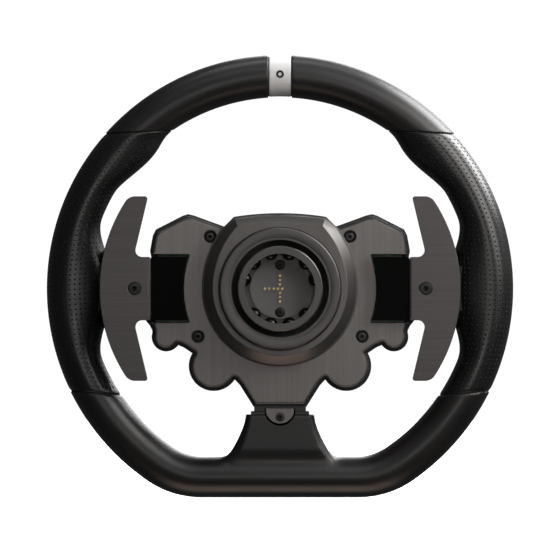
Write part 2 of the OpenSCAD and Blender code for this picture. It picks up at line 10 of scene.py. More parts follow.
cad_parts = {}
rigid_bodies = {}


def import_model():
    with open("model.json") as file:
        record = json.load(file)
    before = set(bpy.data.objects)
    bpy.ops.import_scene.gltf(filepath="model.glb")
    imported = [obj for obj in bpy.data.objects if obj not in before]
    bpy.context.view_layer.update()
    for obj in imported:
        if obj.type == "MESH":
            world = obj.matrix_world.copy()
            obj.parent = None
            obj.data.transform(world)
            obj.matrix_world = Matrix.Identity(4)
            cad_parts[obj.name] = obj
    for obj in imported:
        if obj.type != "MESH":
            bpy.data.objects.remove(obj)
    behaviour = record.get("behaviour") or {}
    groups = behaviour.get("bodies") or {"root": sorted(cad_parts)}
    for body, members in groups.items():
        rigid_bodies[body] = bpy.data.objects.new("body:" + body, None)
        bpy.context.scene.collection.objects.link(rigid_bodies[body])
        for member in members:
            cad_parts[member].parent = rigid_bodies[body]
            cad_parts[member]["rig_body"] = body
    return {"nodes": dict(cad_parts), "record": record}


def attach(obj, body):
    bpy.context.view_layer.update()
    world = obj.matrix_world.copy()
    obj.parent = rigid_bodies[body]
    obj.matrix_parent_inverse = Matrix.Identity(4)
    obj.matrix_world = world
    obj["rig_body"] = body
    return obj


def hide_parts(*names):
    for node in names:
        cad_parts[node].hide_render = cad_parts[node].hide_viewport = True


bl_info = {
    "name": "Racing wheel",
    "version": (1, 0, 0),
    "blender": (4, 5, 0),
    "location": "View3D > Sidebar > Racing wheel",
    "description": "Builds the looks of a flat-bottomed racing wheel round its CAD frame",
    "category": "Object",
}

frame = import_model()
NODES = frame["nodes"]
SIDES = ("left", "right")
MM = 0.001
# The finishes by slot name, filled by the first operator
MATERIALS = {}


# ---- Numbers and colours ----


def cosd(a):
    return math.cos(math.radians(a))


def sind(a):
    return math.sin(math.radians(a))


def ease(t):
    u = min(max(t, 0.0), 1.0)
    return u * u * (3 - 2 * u)


def mix(a, b, t):
    return a + (b - a) * t


def round_angles(count):
    """Angles once round a section."""
    return np.linspace(0, 2 * math.pi, count + 1)[:-1]


def linear(code):
    """A hex sRGB colour as the linear numbers that Blender works in."""
    parts = [int(code[k : k + 2], 16) / 255 for k in (0, 2, 4)]
    return [c / 12.92 if c <= 0.04045 else ((c + 0.055) / 1.055) ** 2.4 for c in parts]


def size(name, mm, what):
    return bpy.props.FloatProperty(
        name=name, description=what, default=mm * MM, unit="LENGTH", min=0.0, precision=5
    )


def colour(name, code, what):
    return bpy.props.FloatVectorProperty(
        name=name, description=what, default=linear(code), subtype="COLOR", size=3, min=0.0, max=1.0
    )


class RimSizes(bpy.types.PropertyGroup):
    diameter: size("Diameter", 280, "Over the round part of the rim")
    width: size("Section width", 25.5, "Rim section, in the plane of the wheel")
    thickness: size("Section thickness", 29, "Rim section, from back to front")
    flat_drop: size("Flat bottom", 125.2, "Steering axis to the outside of the flat bottom")
    flat_width: size("Flat section width", 24.6, "Rim section along the flat bottom")
    corner: size("Corner radius", 43.85, "Bend of the bottom corners, at the middle of the section")
    marker: size("Marker width", 13.7, "Silver marker at the top")
    seam_round: size("Seam rounding", 1.1, "How far the coverings roll over at a seam")


class GripSizes(bpy.types.PropertyGroup):
    thumb: size("Thumb rest", 8, "How far the thumb rest swells towards the axis")
    flare: size("Spoke flare", 14.5, "How far the grip swells where the side spoke meets it")
    inset: size("Leather step", 0.15, "How far the leather lies under the moulded rim")
    hole: bpy.props.FloatProperty(
        name="Hole share", description="Width of a perforation as a share of the pitch", default=0.34
    )
    depth: size("Hole depth", 0.4, "Depth of a perforation")
    rows: bpy.props.IntProperty(name="Rows", description="Rows of perforations along a grip", default=57)


class Finishes(bpy.types.PropertyGroup):
    rim: colour("Rim", "131111", "Soft-touch moulded rim")
    leather: colour("Leather", "0e0e0e", "Perforated grips")
    marker: colour("Marker", "d4d3d3", "Silver painted marker")
    cover: colour("Cover", "6c6968", "Brushed rear cover and hub housing")
    paddle: colour("Paddles", "4f4c4c", "Brushed paddles")
    shell: colour("Shell", "0b0b0b", "Moulded front shell")
    hub: colour("Quick release", "4f4d4c", "Turned ring and collar")
    contact: colour("Contacts", "6c6140", "Gold plated contacts")


class StageLook(bpy.types.PropertyGroup):
    floor: colour("Floor", "f4f4f4", "Plain pale floor")
    level: bpy.props.FloatProperty(name="Light level", description="Scales every soft box", default=1.0)


def look(name):
    return getattr(bpy.context.scene, name)


# ---- Meshes ----

# Corners nearer than this, in metres, are one corner
WELD = 2e-6
# Faces that meet at less than this many degrees are one flat face
FLAT_ANGLE = 0.3
# Edges that turn by more than this many degrees are rounded
BEVEL_ANGLE = 35
SCREW_STEPS = 36


def skin(name, verts, faces):
    """A mesh from corners in millimetres. A closed one is given outward faces."""
    mesh = bpy.data.meshes.new(name)
    corners = [tuple(float(c) * MM for c in v) for v in verts]
    mesh.from_pydata(corners, [], [tuple(map(int, f)) for f in faces])
    bm = bmesh.new()
    bm.from_mesh(mesh)
    bmesh.ops.recalc_face_normals(bm, faces=bm.faces)
    bm.to_mesh(mesh)
    bm.free()
    return mesh


def piece(name, verts, faces, body, slot, replaces=(), finish=None):
    """A mesh piece, with its corners in millimetres, that rides on a body."""
    return settle(name, skin(name, verts, faces), body, slot, replaces, finish)


def settle(name, mesh, body, slot, replaces=(), finish=None, smooth=True, crease=40):
    """Gives a mesh its object, its body and, if it has none yet, its slot's finish or another."""
    mesh.name = name
    obj = loose(name, mesh)
    if not any(mesh.materials):
        mesh.materials.clear()
        mesh.materials.append(MATERIALS[finish or slot])
    if smooth:
        mesh.shade_smooth()
        mesh.set_sharp_from_angle(angle=math.radians(crease))
    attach(obj, body)
    if replaces:
        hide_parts(*replaces)
    return obj


def evaluated(obj):
    """The mesh of an object with its modifiers applied. The object is removed."""
    bpy.context.view_layer.update()
    graph = bpy.context.evaluated_depsgraph_get()
    mesh = bpy.data.meshes.new_from_object(
        obj.evaluated_get(graph), preserve_all_data_layers=True, depsgraph=graph
    )
    bpy.data.objects.remove(obj)
    return mesh


def loose(name, data):
    """An object in the scene for a mesh, a light or a camera."""
    obj = bpy.data.objects.new(name, data)
    bpy.context.scene.collection.objects.link(obj)
    return obj


def clean_copy(node):
    """A CAD node's mesh with its loose triangles joined and its flat faces made whole."""
    mesh = NODES[node].data.copy()
    mesh.materials.clear()
    bm = bmesh.new()
    bm.from_mesh(mesh)
    bmesh.ops.remove_doubles(bm, verts=bm.verts, dist=WELD)
    bmesh.ops.dissolve_limit(bm, angle_limit=math.radians(FLAT_ANGLE), verts=bm.verts, edges=bm.edges)
    bm.to_mesh(mesh)
    bm.free()
    return mesh


def soften(mesh, width):
    """Rounds a mesh's sharp edges by a width in millimetres, and keeps its flat faces flat."""
    mesh.shade_smooth()
    obj = loose("softened", mesh)
    bevel = obj.modifiers.new("edges", "BEVEL")
    bevel.limit_method = "ANGLE"
    bevel.angle_limit = math.radians(BEVEL_ANGLE)
    bevel.width = width * MM
    bevel.segments = 2
    bevel.use_clamp_overlap = True
    normals = obj.modifiers.new("flat", "WEIGHTED_NORMAL")
    normals.mode = "FACE_AREA"
    normals.weight = 90
    return evaluated(obj)


def finished_node(node, width, slot):
    """A CAD node with its edges rounded by a width in millimetres, which stands for the node."""
    mesh = soften(clean_copy(node), width)
    settle(node + "_finished", mesh, NODES[node]["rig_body"], slot, [node], smooth=False)


def bridged(rings):
    """A closed skin through rings that have the same number of points."""
    n, m = len(rings), len(rings[0])
    verts = np.concatenate([np.asarray(r, float) for r in rings])
    faces = []
    for k in range(n - 1):
        for i in range(m):
            j = (i + 1) % m
            faces.append((k * m + i, k * m + j, (k + 1) * m + j, (k + 1) * m + i))
    for k, order in ((0, -1), (n - 1, 1)):
        centre = len(verts)
        verts = np.vstack([verts, verts[k * m : (k + 1) * m].mean(0)])
        for i in range(m):
            a, b = (k * m + i, k * m + (i + 1) % m)[::order]
            faces.append((a, b, centre))
    return verts, outward(verts, faces)


def outward(verts, faces):
    """Turns a closed skin's faces outwards."""
    v = np.asarray(verts, float)
    total = 0.0
    for f in faces:
        for k in range(1, len(f) - 1):
            total += np.dot(v[f[0]], np.cross(v[f[k]], v[f[k + 1]]))
    return faces if total > 0 else [tuple(reversed(f)) for f in faces]


def lathe(profile, steps=128):
    """A skin turned about the steering axis from (radius, depth) points, which go round its
    section once."""
    m, verts, faces = len(profile), [], []
    for k in range(steps):
        a = 2 * math.pi * k / steps
        verts += [(r * math.cos(a), y, r * math.sin(a)) for r, y in profile]
        b = (k + 1) % steps
        for i in range(m):
            j = (i + 1) % m
            faces.append((k * m + i, k * m + j, b * m + j, b * m + i))
    return verts, outward(verts, faces)


def on_side(side, verts, faces):
    """A right-hand skin as it is or, for the left, its mirror image, still facing outwards."""
    if side == "right":
        return verts, faces
    v = np.asarray(verts, float).copy()
    v[:, 0] *= -1
    return v, [tuple(reversed(f)) for f in faces]


def edge_loops(node, y):
    """The outlines of a CAD node's flat face at a depth, in millimetres: the outer one first."""
    bm = bmesh.new()
    bm.from_mesh(NODES[node].data)
    bmesh.ops.remove_doubles(bm, verts=bm.verts, dist=WELD)

    def lies_flat(f):
        return all(abs(v.co.y / MM - y) < 2e-3 for v in f.verts)

    ahead = {}
    for f in bm.faces:
        if lies_flat(f):
            for loop in f.loops:
                across = [g for g in loop.edge.link_faces if g is not f]
                if not any(lies_flat(g) for g in across):
                    ahead[loop.vert.index] = loop.link_loop_next.vert.index
    bm.verts.ensure_lookup_table()
    place = {k: (bm.verts[k].co.x / MM, bm.verts[k].co.z / MM) for k in ahead}
    loops = []
    while ahead:
        k = next(iter(ahead))
        loop = []
        while k in ahead:
            loop.append(place[k])
            k = ahead.pop(k)
        loops.append(tidy_loop(np.array(loop)))
    bm.free()
    loops.sort(key=lambda p: -abs(area(p)))
    return [p if (area(p) > 0) == (k == 0) else p[::-1] for k, p in enumerate(loops)]


def area(loop):
    x, z = loop[:, 0], loop[:, 1]
    return 0.5 * float(np.sum(x * np.roll(z, -1) - z * np.roll(x, -1)))


def tidy_loop(loop):
    """Drops points that lie on a straight stretch."""
    keep = []
    for k in range(len(loop)):
        a, b, c = loop[k - 1], loop[k], loop[(k + 1) % len(loop)]
        u, w = b - a, c - b
        lu, lw = np.linalg.norm(u), np.linalg.norm(w)
        if lu > 1e-4 and abs(u[0] * w[1] - u[1] * w[0]) > 1e-5 * lu * lw:
            keep.append(b)
    return np.array(keep)


def fillet(loop, radius, least=14):
    """Rounds each corner of a loop that turns by more than the least angle, in degrees."""
    out = []
    n = len(loop)
    for k in range(n):
        a, b, c = loop[k - 1], loop[k], loop[(k + 1) % n]
        u, w = b - a, c - b
        lu, lw = np.linalg.norm(u), np.linalg.norm(w)
        u, w = u / lu, w / lw
        turn = math.atan2(u[0] * w[1] - u[1] * w[0], float(u @ w))
        if abs(turn) < math.radians(least):
            out.append(b)
            continue
        cut = min(radius * math.tan(abs(turn) / 2), 0.46 * lu, 0.46 * lw)
        p, q = b - u * cut, b + w * cut
        for t in np.linspace(0, 1, 9):
            out.append((1 - t) ** 2 * p + 2 * t * (1 - t) * b + t**2 * q)
    return np.array(out)


def resampled(loop, step):
    """Divides the long stretches of a loop, so that none is longer than the step."""
    out = []
    for k in range(len(loop)):
        a, b = loop[k], loop[(k + 1) % len(loop)]
        parts = max(1, int(np.ceil(np.linalg.norm(b - a) / step)))
        out += [a + (b - a) * t / parts for t in range(parts)]
    return np.array(out)


def inset_loop(loop, by):
    """Moves a loop into the material, which lies on its left. The distance may differ by point."""
    back, on = loop - np.roll(loop, 1, 0), np.roll(loop, -1, 0) - loop
    back /= np.linalg.norm(back, axis=1)[:, None]
    on /= np.linalg.norm(on, axis=1)[:, None]
    n1, n2 = np.stack([-back[:, 1], back[:, 0]], 1), np.stack([-on[:, 1], on[:, 0]], 1)
    mid = n1 + n2
    mid /= np.maximum(np.linalg.norm(mid, axis=1), 1e-6)[:, None]
    stretch = 1 / np.maximum((mid * n1).sum(1), 0.45)
    return loop + mid * (np.broadcast_to(by, len(loop)) * stretch)[:, None]


def circle(x, z, r, steps=64):
    """A round hole's outline: the material lies on its left."""
    a = np.linspace(0, -2 * math.pi, steps + 1)[:-1]
    return np.stack([x + r * np.cos(a), z + r * np.sin(a)], 1)


def walled(verts, faces, rows):
    """Adds walls through rows of points, and gives the corner numbers of the first and last row."""
    base, m = len(verts), len(rows[0])
    for row in rows:
        verts += [tuple(p) for p in row]
    for k in range(len(rows) - 1):
        for i in range(m):
            a, j = base + k * m, (i + 1) % m
            faces.append((a + m + i, a + m + j, a + j, a + i))
    return range(base, base + m), range(len(verts) - m, len(verts))


def capped(verts, faces, loops, rear):
    """Fills the flat face between outlines, each a run of corner numbers."""
    index = [i for loop in loops for i in loop]
    found = tessellate_polygon([[Vector((verts[i][0], verts[i][2], 0)) for i in loop] for loop in loops])
    tris = [tuple(index[i] for i in t) for t in found]
    ups = []
    for a, b, c in tris:
        ups.append(np.cross(np.subtract(verts[b], verts[a]), np.subtract(verts[c], verts[a]))[1])
    most = math.copysign(1, sum(ups))
    for (a, b, c), up in zip(tris, ups):
        way = up if abs(up) > 1e-9 else most
        faces.append((a, b, c) if (way < 0) == rear else (a, c, b))


def plate(parts):
    """A closed skin from outlines and their edge profiles. Each part is (loop, profile, weights):
    the profile is a list of (inset, depth), from the rear face to the other face, and weights
    scale the insets point by point."""
    verts, faces, ends = [], [], []
    for loop, profile, weights in parts:
        rows = [[(x, y, z) for x, z in inset_loop(loop, inset * weights)] for inset, y in profile]
        ends.append(walled(verts, faces, rows))
    capped(verts, faces, [end[0] for end in ends], True)
    capped(verts, faces, [end[1] for end in ends], False)
    return verts, faces


def joined(outside, inside):
    """A closed skin from the rows of an outer wall and of a hole's wall, from the rear face on."""
    verts, faces = [], []
    ends = walled(verts, faces, outside), walled(verts, faces, inside)
    capped(verts, faces, [end[0] for end in ends], True)
    capped(verts, faces, [end[1] for end in ends], False)
    return verts, faces


def screw(radius, height, shank, length, socket, depth, crown):
    """A socket screw whose head ends at depth 0: shank, head with a crowned edge, hex socket."""
    turns = round_angles(SCREW_STEPS)
    hexagon = [socket / cosd(math.degrees(t) % 60 - 30) for t in turns]
    flat = socket * 1.3
    rows = [(shank, length), (shank, height), (radius, height), (radius, height - 0.05)]
    for a in np.linspace(0, 90, 5):
        rows.append((flat + (radius - flat) * cosd(a), height * crown * (1 - sind(a))))
    rings = [[(r * math.cos(t), y, r * math.sin(t)) for t in turns] for r, y in rows]
    for y, wider in ((0.0, 1.06), (0.12, 1), (depth, 1)):
        rings.append([(h * wider * math.cos(t), y, h * math.sin(t)) for h, t in zip(hexagon, turns)])
    return bridged(rings)


def edge_profile(y0, y1, width):
    """A rounded rear edge, a wall and a slightly eased front edge, after a strip of flat face."""
    turns = np.linspace(0, math.pi / 2, 5)
    rounded = [(width * (1 - math.sin(a)), y0 + width * (1 - math.cos(a))) for a in turns]
    return [(width * 1.6, y0), *rounded, (0, y1 - 0.1), (0.1, y1)]


# ---- Rim shape ----


class Rim:
    """The rim's middle line and sections, in millimetres, worked out from the sizes."""

    def __init__(self):
        rim, grip = look("wheel_rim"), look("wheel_grips")
        self.width, self.thick = rim.width / MM, rim.thickness / MM
        self.outer = rim.diameter / MM / 2
        self.inner, self.spine = self.outer - self.width, self.outer - self.width / 2
        self.flat_half = rim.flat_width / MM / 2
        self.flat_z = self.flat_half - rim.flat_drop / MM
        self.corner = rim.corner / MM
        self.corner_z = self.flat_z + self.corner
        self.corner_x = math.sqrt((self.spine - self.corner) ** 2 - self.corner_z**2)
        self.corner_a = math.degrees(math.atan2(self.corner_z, self.corner_x))
        self.marker_half = rim.marker / MM / 2
        self.marker_top = math.degrees(math.acos(self.marker_half / self.spine))
        self.thumb, self.flare = grip.thumb / MM, grip.flare / MM
        # a grip's ends, as angles about the steering axis
        self.grip_top, self.grip_low = 47.4, -29.4
        # the ways its seams run, half the gap at a seam, and how far a covering takes to lean over
        self.seam_top, self.seam_low, self.gap, self.run = 177, 185.5, 0.14, 25
        # depth of the middle of the section
        self.y = 46

    def swell(self, z):
        """How far a grip stands in towards the axis: the thumb rest and the flare at the spoke."""
        thumb_z, thumb_reach, flare_reach = 76.5, 19, 42
        up, out = (z - thumb_z) / thumb_reach, z / flare_reach
        thumb = self.thumb * (1 - up**2) ** 2 if abs(up) < 1 else 0
        flare = self.flare * (1 - out**2) ** 1.9 if abs(out) < 1 else 0
        return thumb + flare

    def station(self, phi, lean, grip=False):
        """Point on the middle line, direction of the inner side, and reach inwards and outwards."""
        x, z, way = self.spine * cosd(phi), self.spine * sind(phi), phi + 180 + lean
        a = self.spine * cosd(lean) - math.sqrt(self.inner**2 - (self.spine * sind(lean)) ** 2)
        b = math.sqrt(self.outer**2 - (self.spine * sind(lean)) ** 2) - self.spine * cosd(lean)
        return x, z, way, a + (self.swell(z + a * sind(way)) if grip else 0), b

    def top(self, t):
        phi = mix(self.grip_top + self.gap, self.marker_top - 0.08, t)
        lean = (self.seam_top - self.grip_top - 180) * ease(1 - (phi - self.grip_top) / self.run)
        return self.station(phi, lean + (90 - self.marker_top) * ease((phi - 75) / 11))

    def under_marker(self, x):
        """A station near the top, where the sections stand upright."""
        z = math.sqrt(self.spine**2 - x * x)
        inner, outer = (math.sqrt(r**2 - x * x) for r in (self.inner, self.outer))
        return x, z, 270, z - inner, outer - z

    def grip(self, t, shear=0.0):
        phi = mix(self.grip_low + self.gap, self.grip_top - self.gap, t)
        return self.station(phi, mix(self.seam_low, self.seam_top, t) - phi - 180 + shear, True)

    def bottom(self, s):
        """Stations of the right half of the bottom: 0 to 1 flat, 1 to 2 corner, 2 to 3 the rest."""
        if s < 1:
            return self.corner_x * s, self.flat_z, 90, self.flat_half, self.flat_half
        if s < 2:
            a, h = mix(-90, self.corner_a, s - 1), mix(self.flat_half, self.width / 2, s - 1)
            x, z = self.corner_x + self.corner * cosd(a), self.corner_z + self.corner * sind(a)
            return x, z, a + 180, h, h
        phi = mix(self.corner_a, self.grip_low - self.gap, s - 2)
        lean = (self.seam_low - self.grip_low - 180) * ease(1 - (self.grip_low - phi) / self.run)
        return self.station(phi, lean)

    def ring(self, st, angles, inset=0.0):
        """The section at a station, at the angles given, and less an inset all round."""
        x, z, way, a, b = st
        cx, cz = cosd(way), sind(way)
        out = []
        for t in angles:
            c, n = math.cos(t), math.sin(t)
            d = ((a if c > 0 else b) - inset) * c
            out.append((x + cx * d, self.y + (self.thick / 2 - inset) * n, z + cz * d))
        return out


def end_rolls(roll):
    """(inset, distance from the end) steps that roll a covering's end over by about that much."""
    turns = np.linspace(0, math.pi / 2, 6)
    return [(roll * (1 - math.sin(a)), roll * 0.8 * (1 - math.cos(a))) for a in turns]


def rolled_sweep(rim, stations, angles, roll):
    """A skin through the rim's sections at stations, with its two ends rolled over."""
    rings = [np.asarray(rim.ring(st, angles)) for st in stations]

    def rolled_end(end, inner):
        path = rings[inner] - rings[end]
        span = np.linalg.norm(path.mean(0))
        rolled = []
        for extra, along in end_rolls(roll):
            ring = np.asarray(rim.ring(stations[end], angles, extra))
            rolled.append(ring + path * (along / span))
        return rolled

    return bridged(rolled_end(0, 1) + rings[1:-1] + rolled_end(-1, -2)[::-1])


# ---- Materials ----


def add(tree, kind, sockets=None, **settings):
    """Adds a node, sets its properties, and sets or links its inputs."""
    node = tree.nodes.new(kind)
    for key, value in settings.items():
        setattr(node, key, value)
    for key, value in (sockets or {}).items():
        if isinstance(value, bpy.types.NodeSocket):
            tree.links.new(value, node.inputs[key])
        else:
            node.inputs[key].default_value = value
    return node


def start(name, base, rough, metal=0.0, **sockets):
    """A material with its Principled surface, and coordinates in millimetres."""
    mat = bpy.data.materials.new(name)
    mat.use_nodes = True
    tree = mat.node_tree
    tree.nodes.clear()
    sockets = {"Base Color": shade(base, 1), "Roughness": rough, "Metallic": metal, **sockets}
    surface = add(tree, "ShaderNodeBsdfPrincipled", sockets)
    add(tree, "ShaderNodeOutputMaterial", {"Surface": surface.outputs[0]})
    coords = add(tree, "ShaderNodeTexCoord")
    sockets = {"Vector": coords.outputs["Object"], "Scale": (1 / MM,) * 3}
    mm = add(tree, "ShaderNodeMapping", sockets)
    return mat, tree, surface, mm.outputs[0]


def shade(base, share):
    return [c * share for c in base[:3]] + [1.0]


def tinted(tree, surface, factor, base, dark, light):
    """Colour that runs between two shares of the base with a pattern's factor."""
    sockets = {0: factor, 6: shade(base, dark), 7: shade(base, light)}
    blend = add(tree, "ShaderNodeMix", sockets, data_type="RGBA")
    tree.links.new(blend.outputs[2], surface.inputs["Base Color"])


def roughened(tree, surface, value, low, high, smooth, rough):
    """Roughness that runs from smooth to rough as a pattern goes from low to high."""
    sockets = {0: value, 1: low, 2: high, 3: smooth, 4: rough}
    spread = add(tree, "ShaderNodeMapRange", sockets)
    tree.links.new(spread.outputs[0], surface.inputs["Roughness"])


def bumped(tree, surface, height, depth_mm, strength, under=None):
    """Relief from a height pattern, over other relief if there is any."""
    sockets = {"Height": height, "Distance": depth_mm * MM, "Strength": strength}
    if under is not None:
        sockets["Normal"] = under
    bump = add(tree, "ShaderNodeBump", sockets)
    tree.links.new(bump.outputs[0], surface.inputs["Normal"])
    return bump.outputs[0]


def moulded(name, base, rough, grain=0.45, depth=0.02, spread=0.05, **sockets):
    """Moulded plastic or soft-touch rubber: a fine spark-eroded grain, drawn at about twice its
    real size so that it shows, and slow changes of gloss where hands have touched it."""
    mat, tree, surface, mm = start(name, base, rough, **sockets)
    fine = add(tree, "ShaderNodeTexNoise", {"Vector": mm, "Scale": 1 / grain, "Detail": 3.0})
    slow = add(tree, "ShaderNodeTexNoise", {"Vector": mm, "Scale": 1 / 28, "Detail": 4.0})
    tone = add(tree, "ShaderNodeMapRange", {0: slow.outputs[0], 1: 0.35, 2: 0.65})
    tinted(tree, surface, tone.outputs[0], base, 0.88, 1.14)
    roughened(tree, surface, slow.outputs[0], 0.3, 0.7, rough - spread, rough + spread)
    bumped(tree, surface, fine.outputs[0], depth, 0.5)
    return mat


def brushed(name, base, rough, along, strand=0.2, contrast=0.07, metal=0.75, anisotropy=0.4):
    """Anodised aluminium, brushed one way: fine parallel strokes that vary in tone and gloss.
    Real strokes are under 0.1 mm wide, and are drawn two or three times as wide to show."""
    mat, tree, surface, mm = start(name, base, rough, metal, Anisotropic=anisotropy)

    def strokes(length, width, **noise):
        squeeze = tuple(1 / length if axis == along else 1 / width for axis in "XYZ")
        lines = add(tree, "ShaderNodeMapping", {"Vector": mm, "Scale": squeeze})
        sockets = {"Vector": lines.outputs[0], "Scale": 1.0, **noise}
        return add(tree, "ShaderNodeTexNoise", sockets)

    fine = strokes(60, strand, Detail=3.0, Roughness=0.6)
    broad = strokes(90, 1.6, Detail=2.0)
    both = add(tree, "ShaderNodeMath", {0: fine.outputs[0], 1: broad.outputs[0]}, operation="ADD")
    tone = add(tree, "ShaderNodeMapRange", {0: both.outputs[0], 1: 0.75, 2: 1.25})
    tinted(tree, surface, tone.outputs[0], base, 1 - contrast, 1 + contrast)
    roughened(tree, surface, fine.outputs[0], 0.3, 0.7, rough - 0.05, rough + 0.06)
    bumped(tree, surface, fine.outputs[0], 0.012, 0.35)
    return mat


def turned(name, base, rough, pitch=0.35, metal=0.75, contrast=0.1):
    """Anodised aluminium or steel off a lathe: rings about the axis, with a little uneven tone."""
    mat, tree, surface, mm = start(name, base, rough, metal)
    parts = add(tree, "ShaderNodeSeparateXYZ", {0: mm})
    flat = add(tree, "ShaderNodeCombineXYZ", {0: parts.outputs[0], 1: parts.outputs[2]})
    radius = add(tree, "ShaderNodeVectorMath", {0: flat.outputs[0]}, operation="LENGTH")
    along = add(tree, "ShaderNodeCombineXYZ", {0: radius.outputs["Value"], 1: parts.outputs[1]})
    rings = {"Vector": along.outputs[0], "Scale": 1 / pitch, "Detail": 3.0}
    fine = add(tree, "ShaderNodeTexNoise", rings)
    slow = add(tree, "ShaderNodeTexNoise", {"Vector": mm, "Scale": 1 / 9, "Detail": 3.0})
    both = add(tree, "ShaderNodeMath", {0: fine.outputs[0], 1: slow.outputs[0]}, operation="ADD")
    tone = add(tree, "ShaderNodeMapRange", {0: both.outputs[0], 1: 0.75, 2: 1.25})
    tinted(tree, surface, tone.outputs[0], base, 1 - contrast, 1 + contrast)
    roughened(tree, surface, slow.outputs[0], 0.3, 0.7, rough - 0.05, rough + 0.05)
    bumped(tree, surface, fine.outputs[0], 0.008, 0.4)
    return mat


def leather(name, base):
    """Full-grain leather over foam: pebbles about 0.7 mm across with soft creases between, which break
    up the light and are painted darker as shade, and a slow change of gloss from handling."""
    mat, tree, surface, mm = start(name, base, 0.4)
    warp = add(tree, "ShaderNodeTexNoise", {"Vector": mm, "Scale": 1 / 2.2, "Detail": 2.0})
    bent = add(tree, "ShaderNodeMix", {0: 0.25, 4: mm, 5: warp.outputs[1]}, data_type="VECTOR")
    pebbles = {"Vector": bent.outputs[1], "Scale": 1 / 0.7}
    cells = add(tree, "ShaderNodeTexVoronoi", pebbles, feature="DISTANCE_TO_EDGE")
    pores = add(tree, "ShaderNodeTexNoise", {"Vector": mm, "Scale": 1 / 0.3, "Detail": 2.0})
    slow = add(tree, "ShaderNodeTexNoise", {"Vector": mm, "Scale": 1 / 22, "Detail": 4.0})
    crease = add(tree, "ShaderNodeMapRange", {0: cells.outputs[0], 1: 0.0, 2: 0.22}).outputs[0]
    # painted shade in the creases, a quarter darker than the base, and the pebbles a tenth lighter
    tinted(tree, surface, crease, base, 0.75, 1.1)
    roughened(tree, surface, slow.outputs[0], 0.3, 0.7, 0.3, 0.37)
    low = bumped(tree, surface, crease, 0.02, 0.06)
    bumped(tree, surface, pores.outputs[0], 0.01, 0.06, low)
    return mat


def hollow_shade_finish(name, base):
    """Painted shade: near-black foam with no gloss, for the cut edge and floor of a perforation, and for
    sockets and grooves.
    """
    mat, tree, surface, mm = start(name, base, 0.85)
    fleck = add(tree, "ShaderNodeTexNoise", {"Vector": mm, "Scale": 1 / 0.15, "Detail": 1.0})
    tinted(tree, surface, fleck.outputs[0], base, 0.6, 1.5)
    return mat


def painted_silver(name, base):
    """Satin silver paint: metal flakes under 0.1 mm, drawn at 0.25 mm, that sparkle a little."""
    mat, tree, surface, mm = start(name, base, 0.42, 0.1)
    flakes = add(tree, "ShaderNodeTexVoronoi", {"Vector": mm, "Scale": 1 / 0.25})
    tone = add(tree, "ShaderNodeSeparateColor", {0: flakes.outputs["Color"]})
    tinted(tree, surface, tone.outputs[0], base, 0.93, 1.05)
    roughened(tree, surface, tone.outputs[1], 0, 1, 0.36, 0.48)
    bumped(tree, surface, tone.outputs[2], 0.004, 0.3)
    return mat


def polished(name, base, rough, metal=1.0, **sockets):
    """Polished steel, gold plate or gloss plastic: nearly clear, with faint wipe marks."""
    mat, tree, surface, mm = start(name, base, rough, metal, **sockets)
    wipe = add(tree, "ShaderNodeTexNoise", {"Vector": mm, "Scale": 1 / 3.5, "Detail": 5.0})
    tinted(tree, surface, wipe.outputs[0], base, 0.92, 1.05)
    roughened(tree, surface, wipe.outputs[0], 0.3, 0.7, max(rough - 0.03, 0.02), rough + 0.05)
    return mat


def circuit(name, base):
    """Green solder mask over copper tracks: slightly raised lines, set out on a 2.54 mm grid."""
    mat, tree, surface, mm = start(name, base, 0.35)
    tones = {"Color1": shade(base, 0.9), "Color2": shade(base, 1.1), "Mortar": shade(base, 1.8)}
    grid = {"Vector": mm, "Scale": 1 / 2.54, "Mortar Size": 0.06}
    brick = add(tree, "ShaderNodeTexBrick", {**grid, **tones})
    tree.links.new(brick.outputs["Color"], surface.inputs["Base Color"])
    slow = add(tree, "ShaderNodeTexNoise", {"Vector": mm, "Scale": 1 / 6})
    roughened(tree, surface, slow.outputs[0], 0.3, 0.7, 0.28, 0.42)
    bumped(tree, surface, brick.outputs["Fac"], 0.03, 0.6)
    return mat


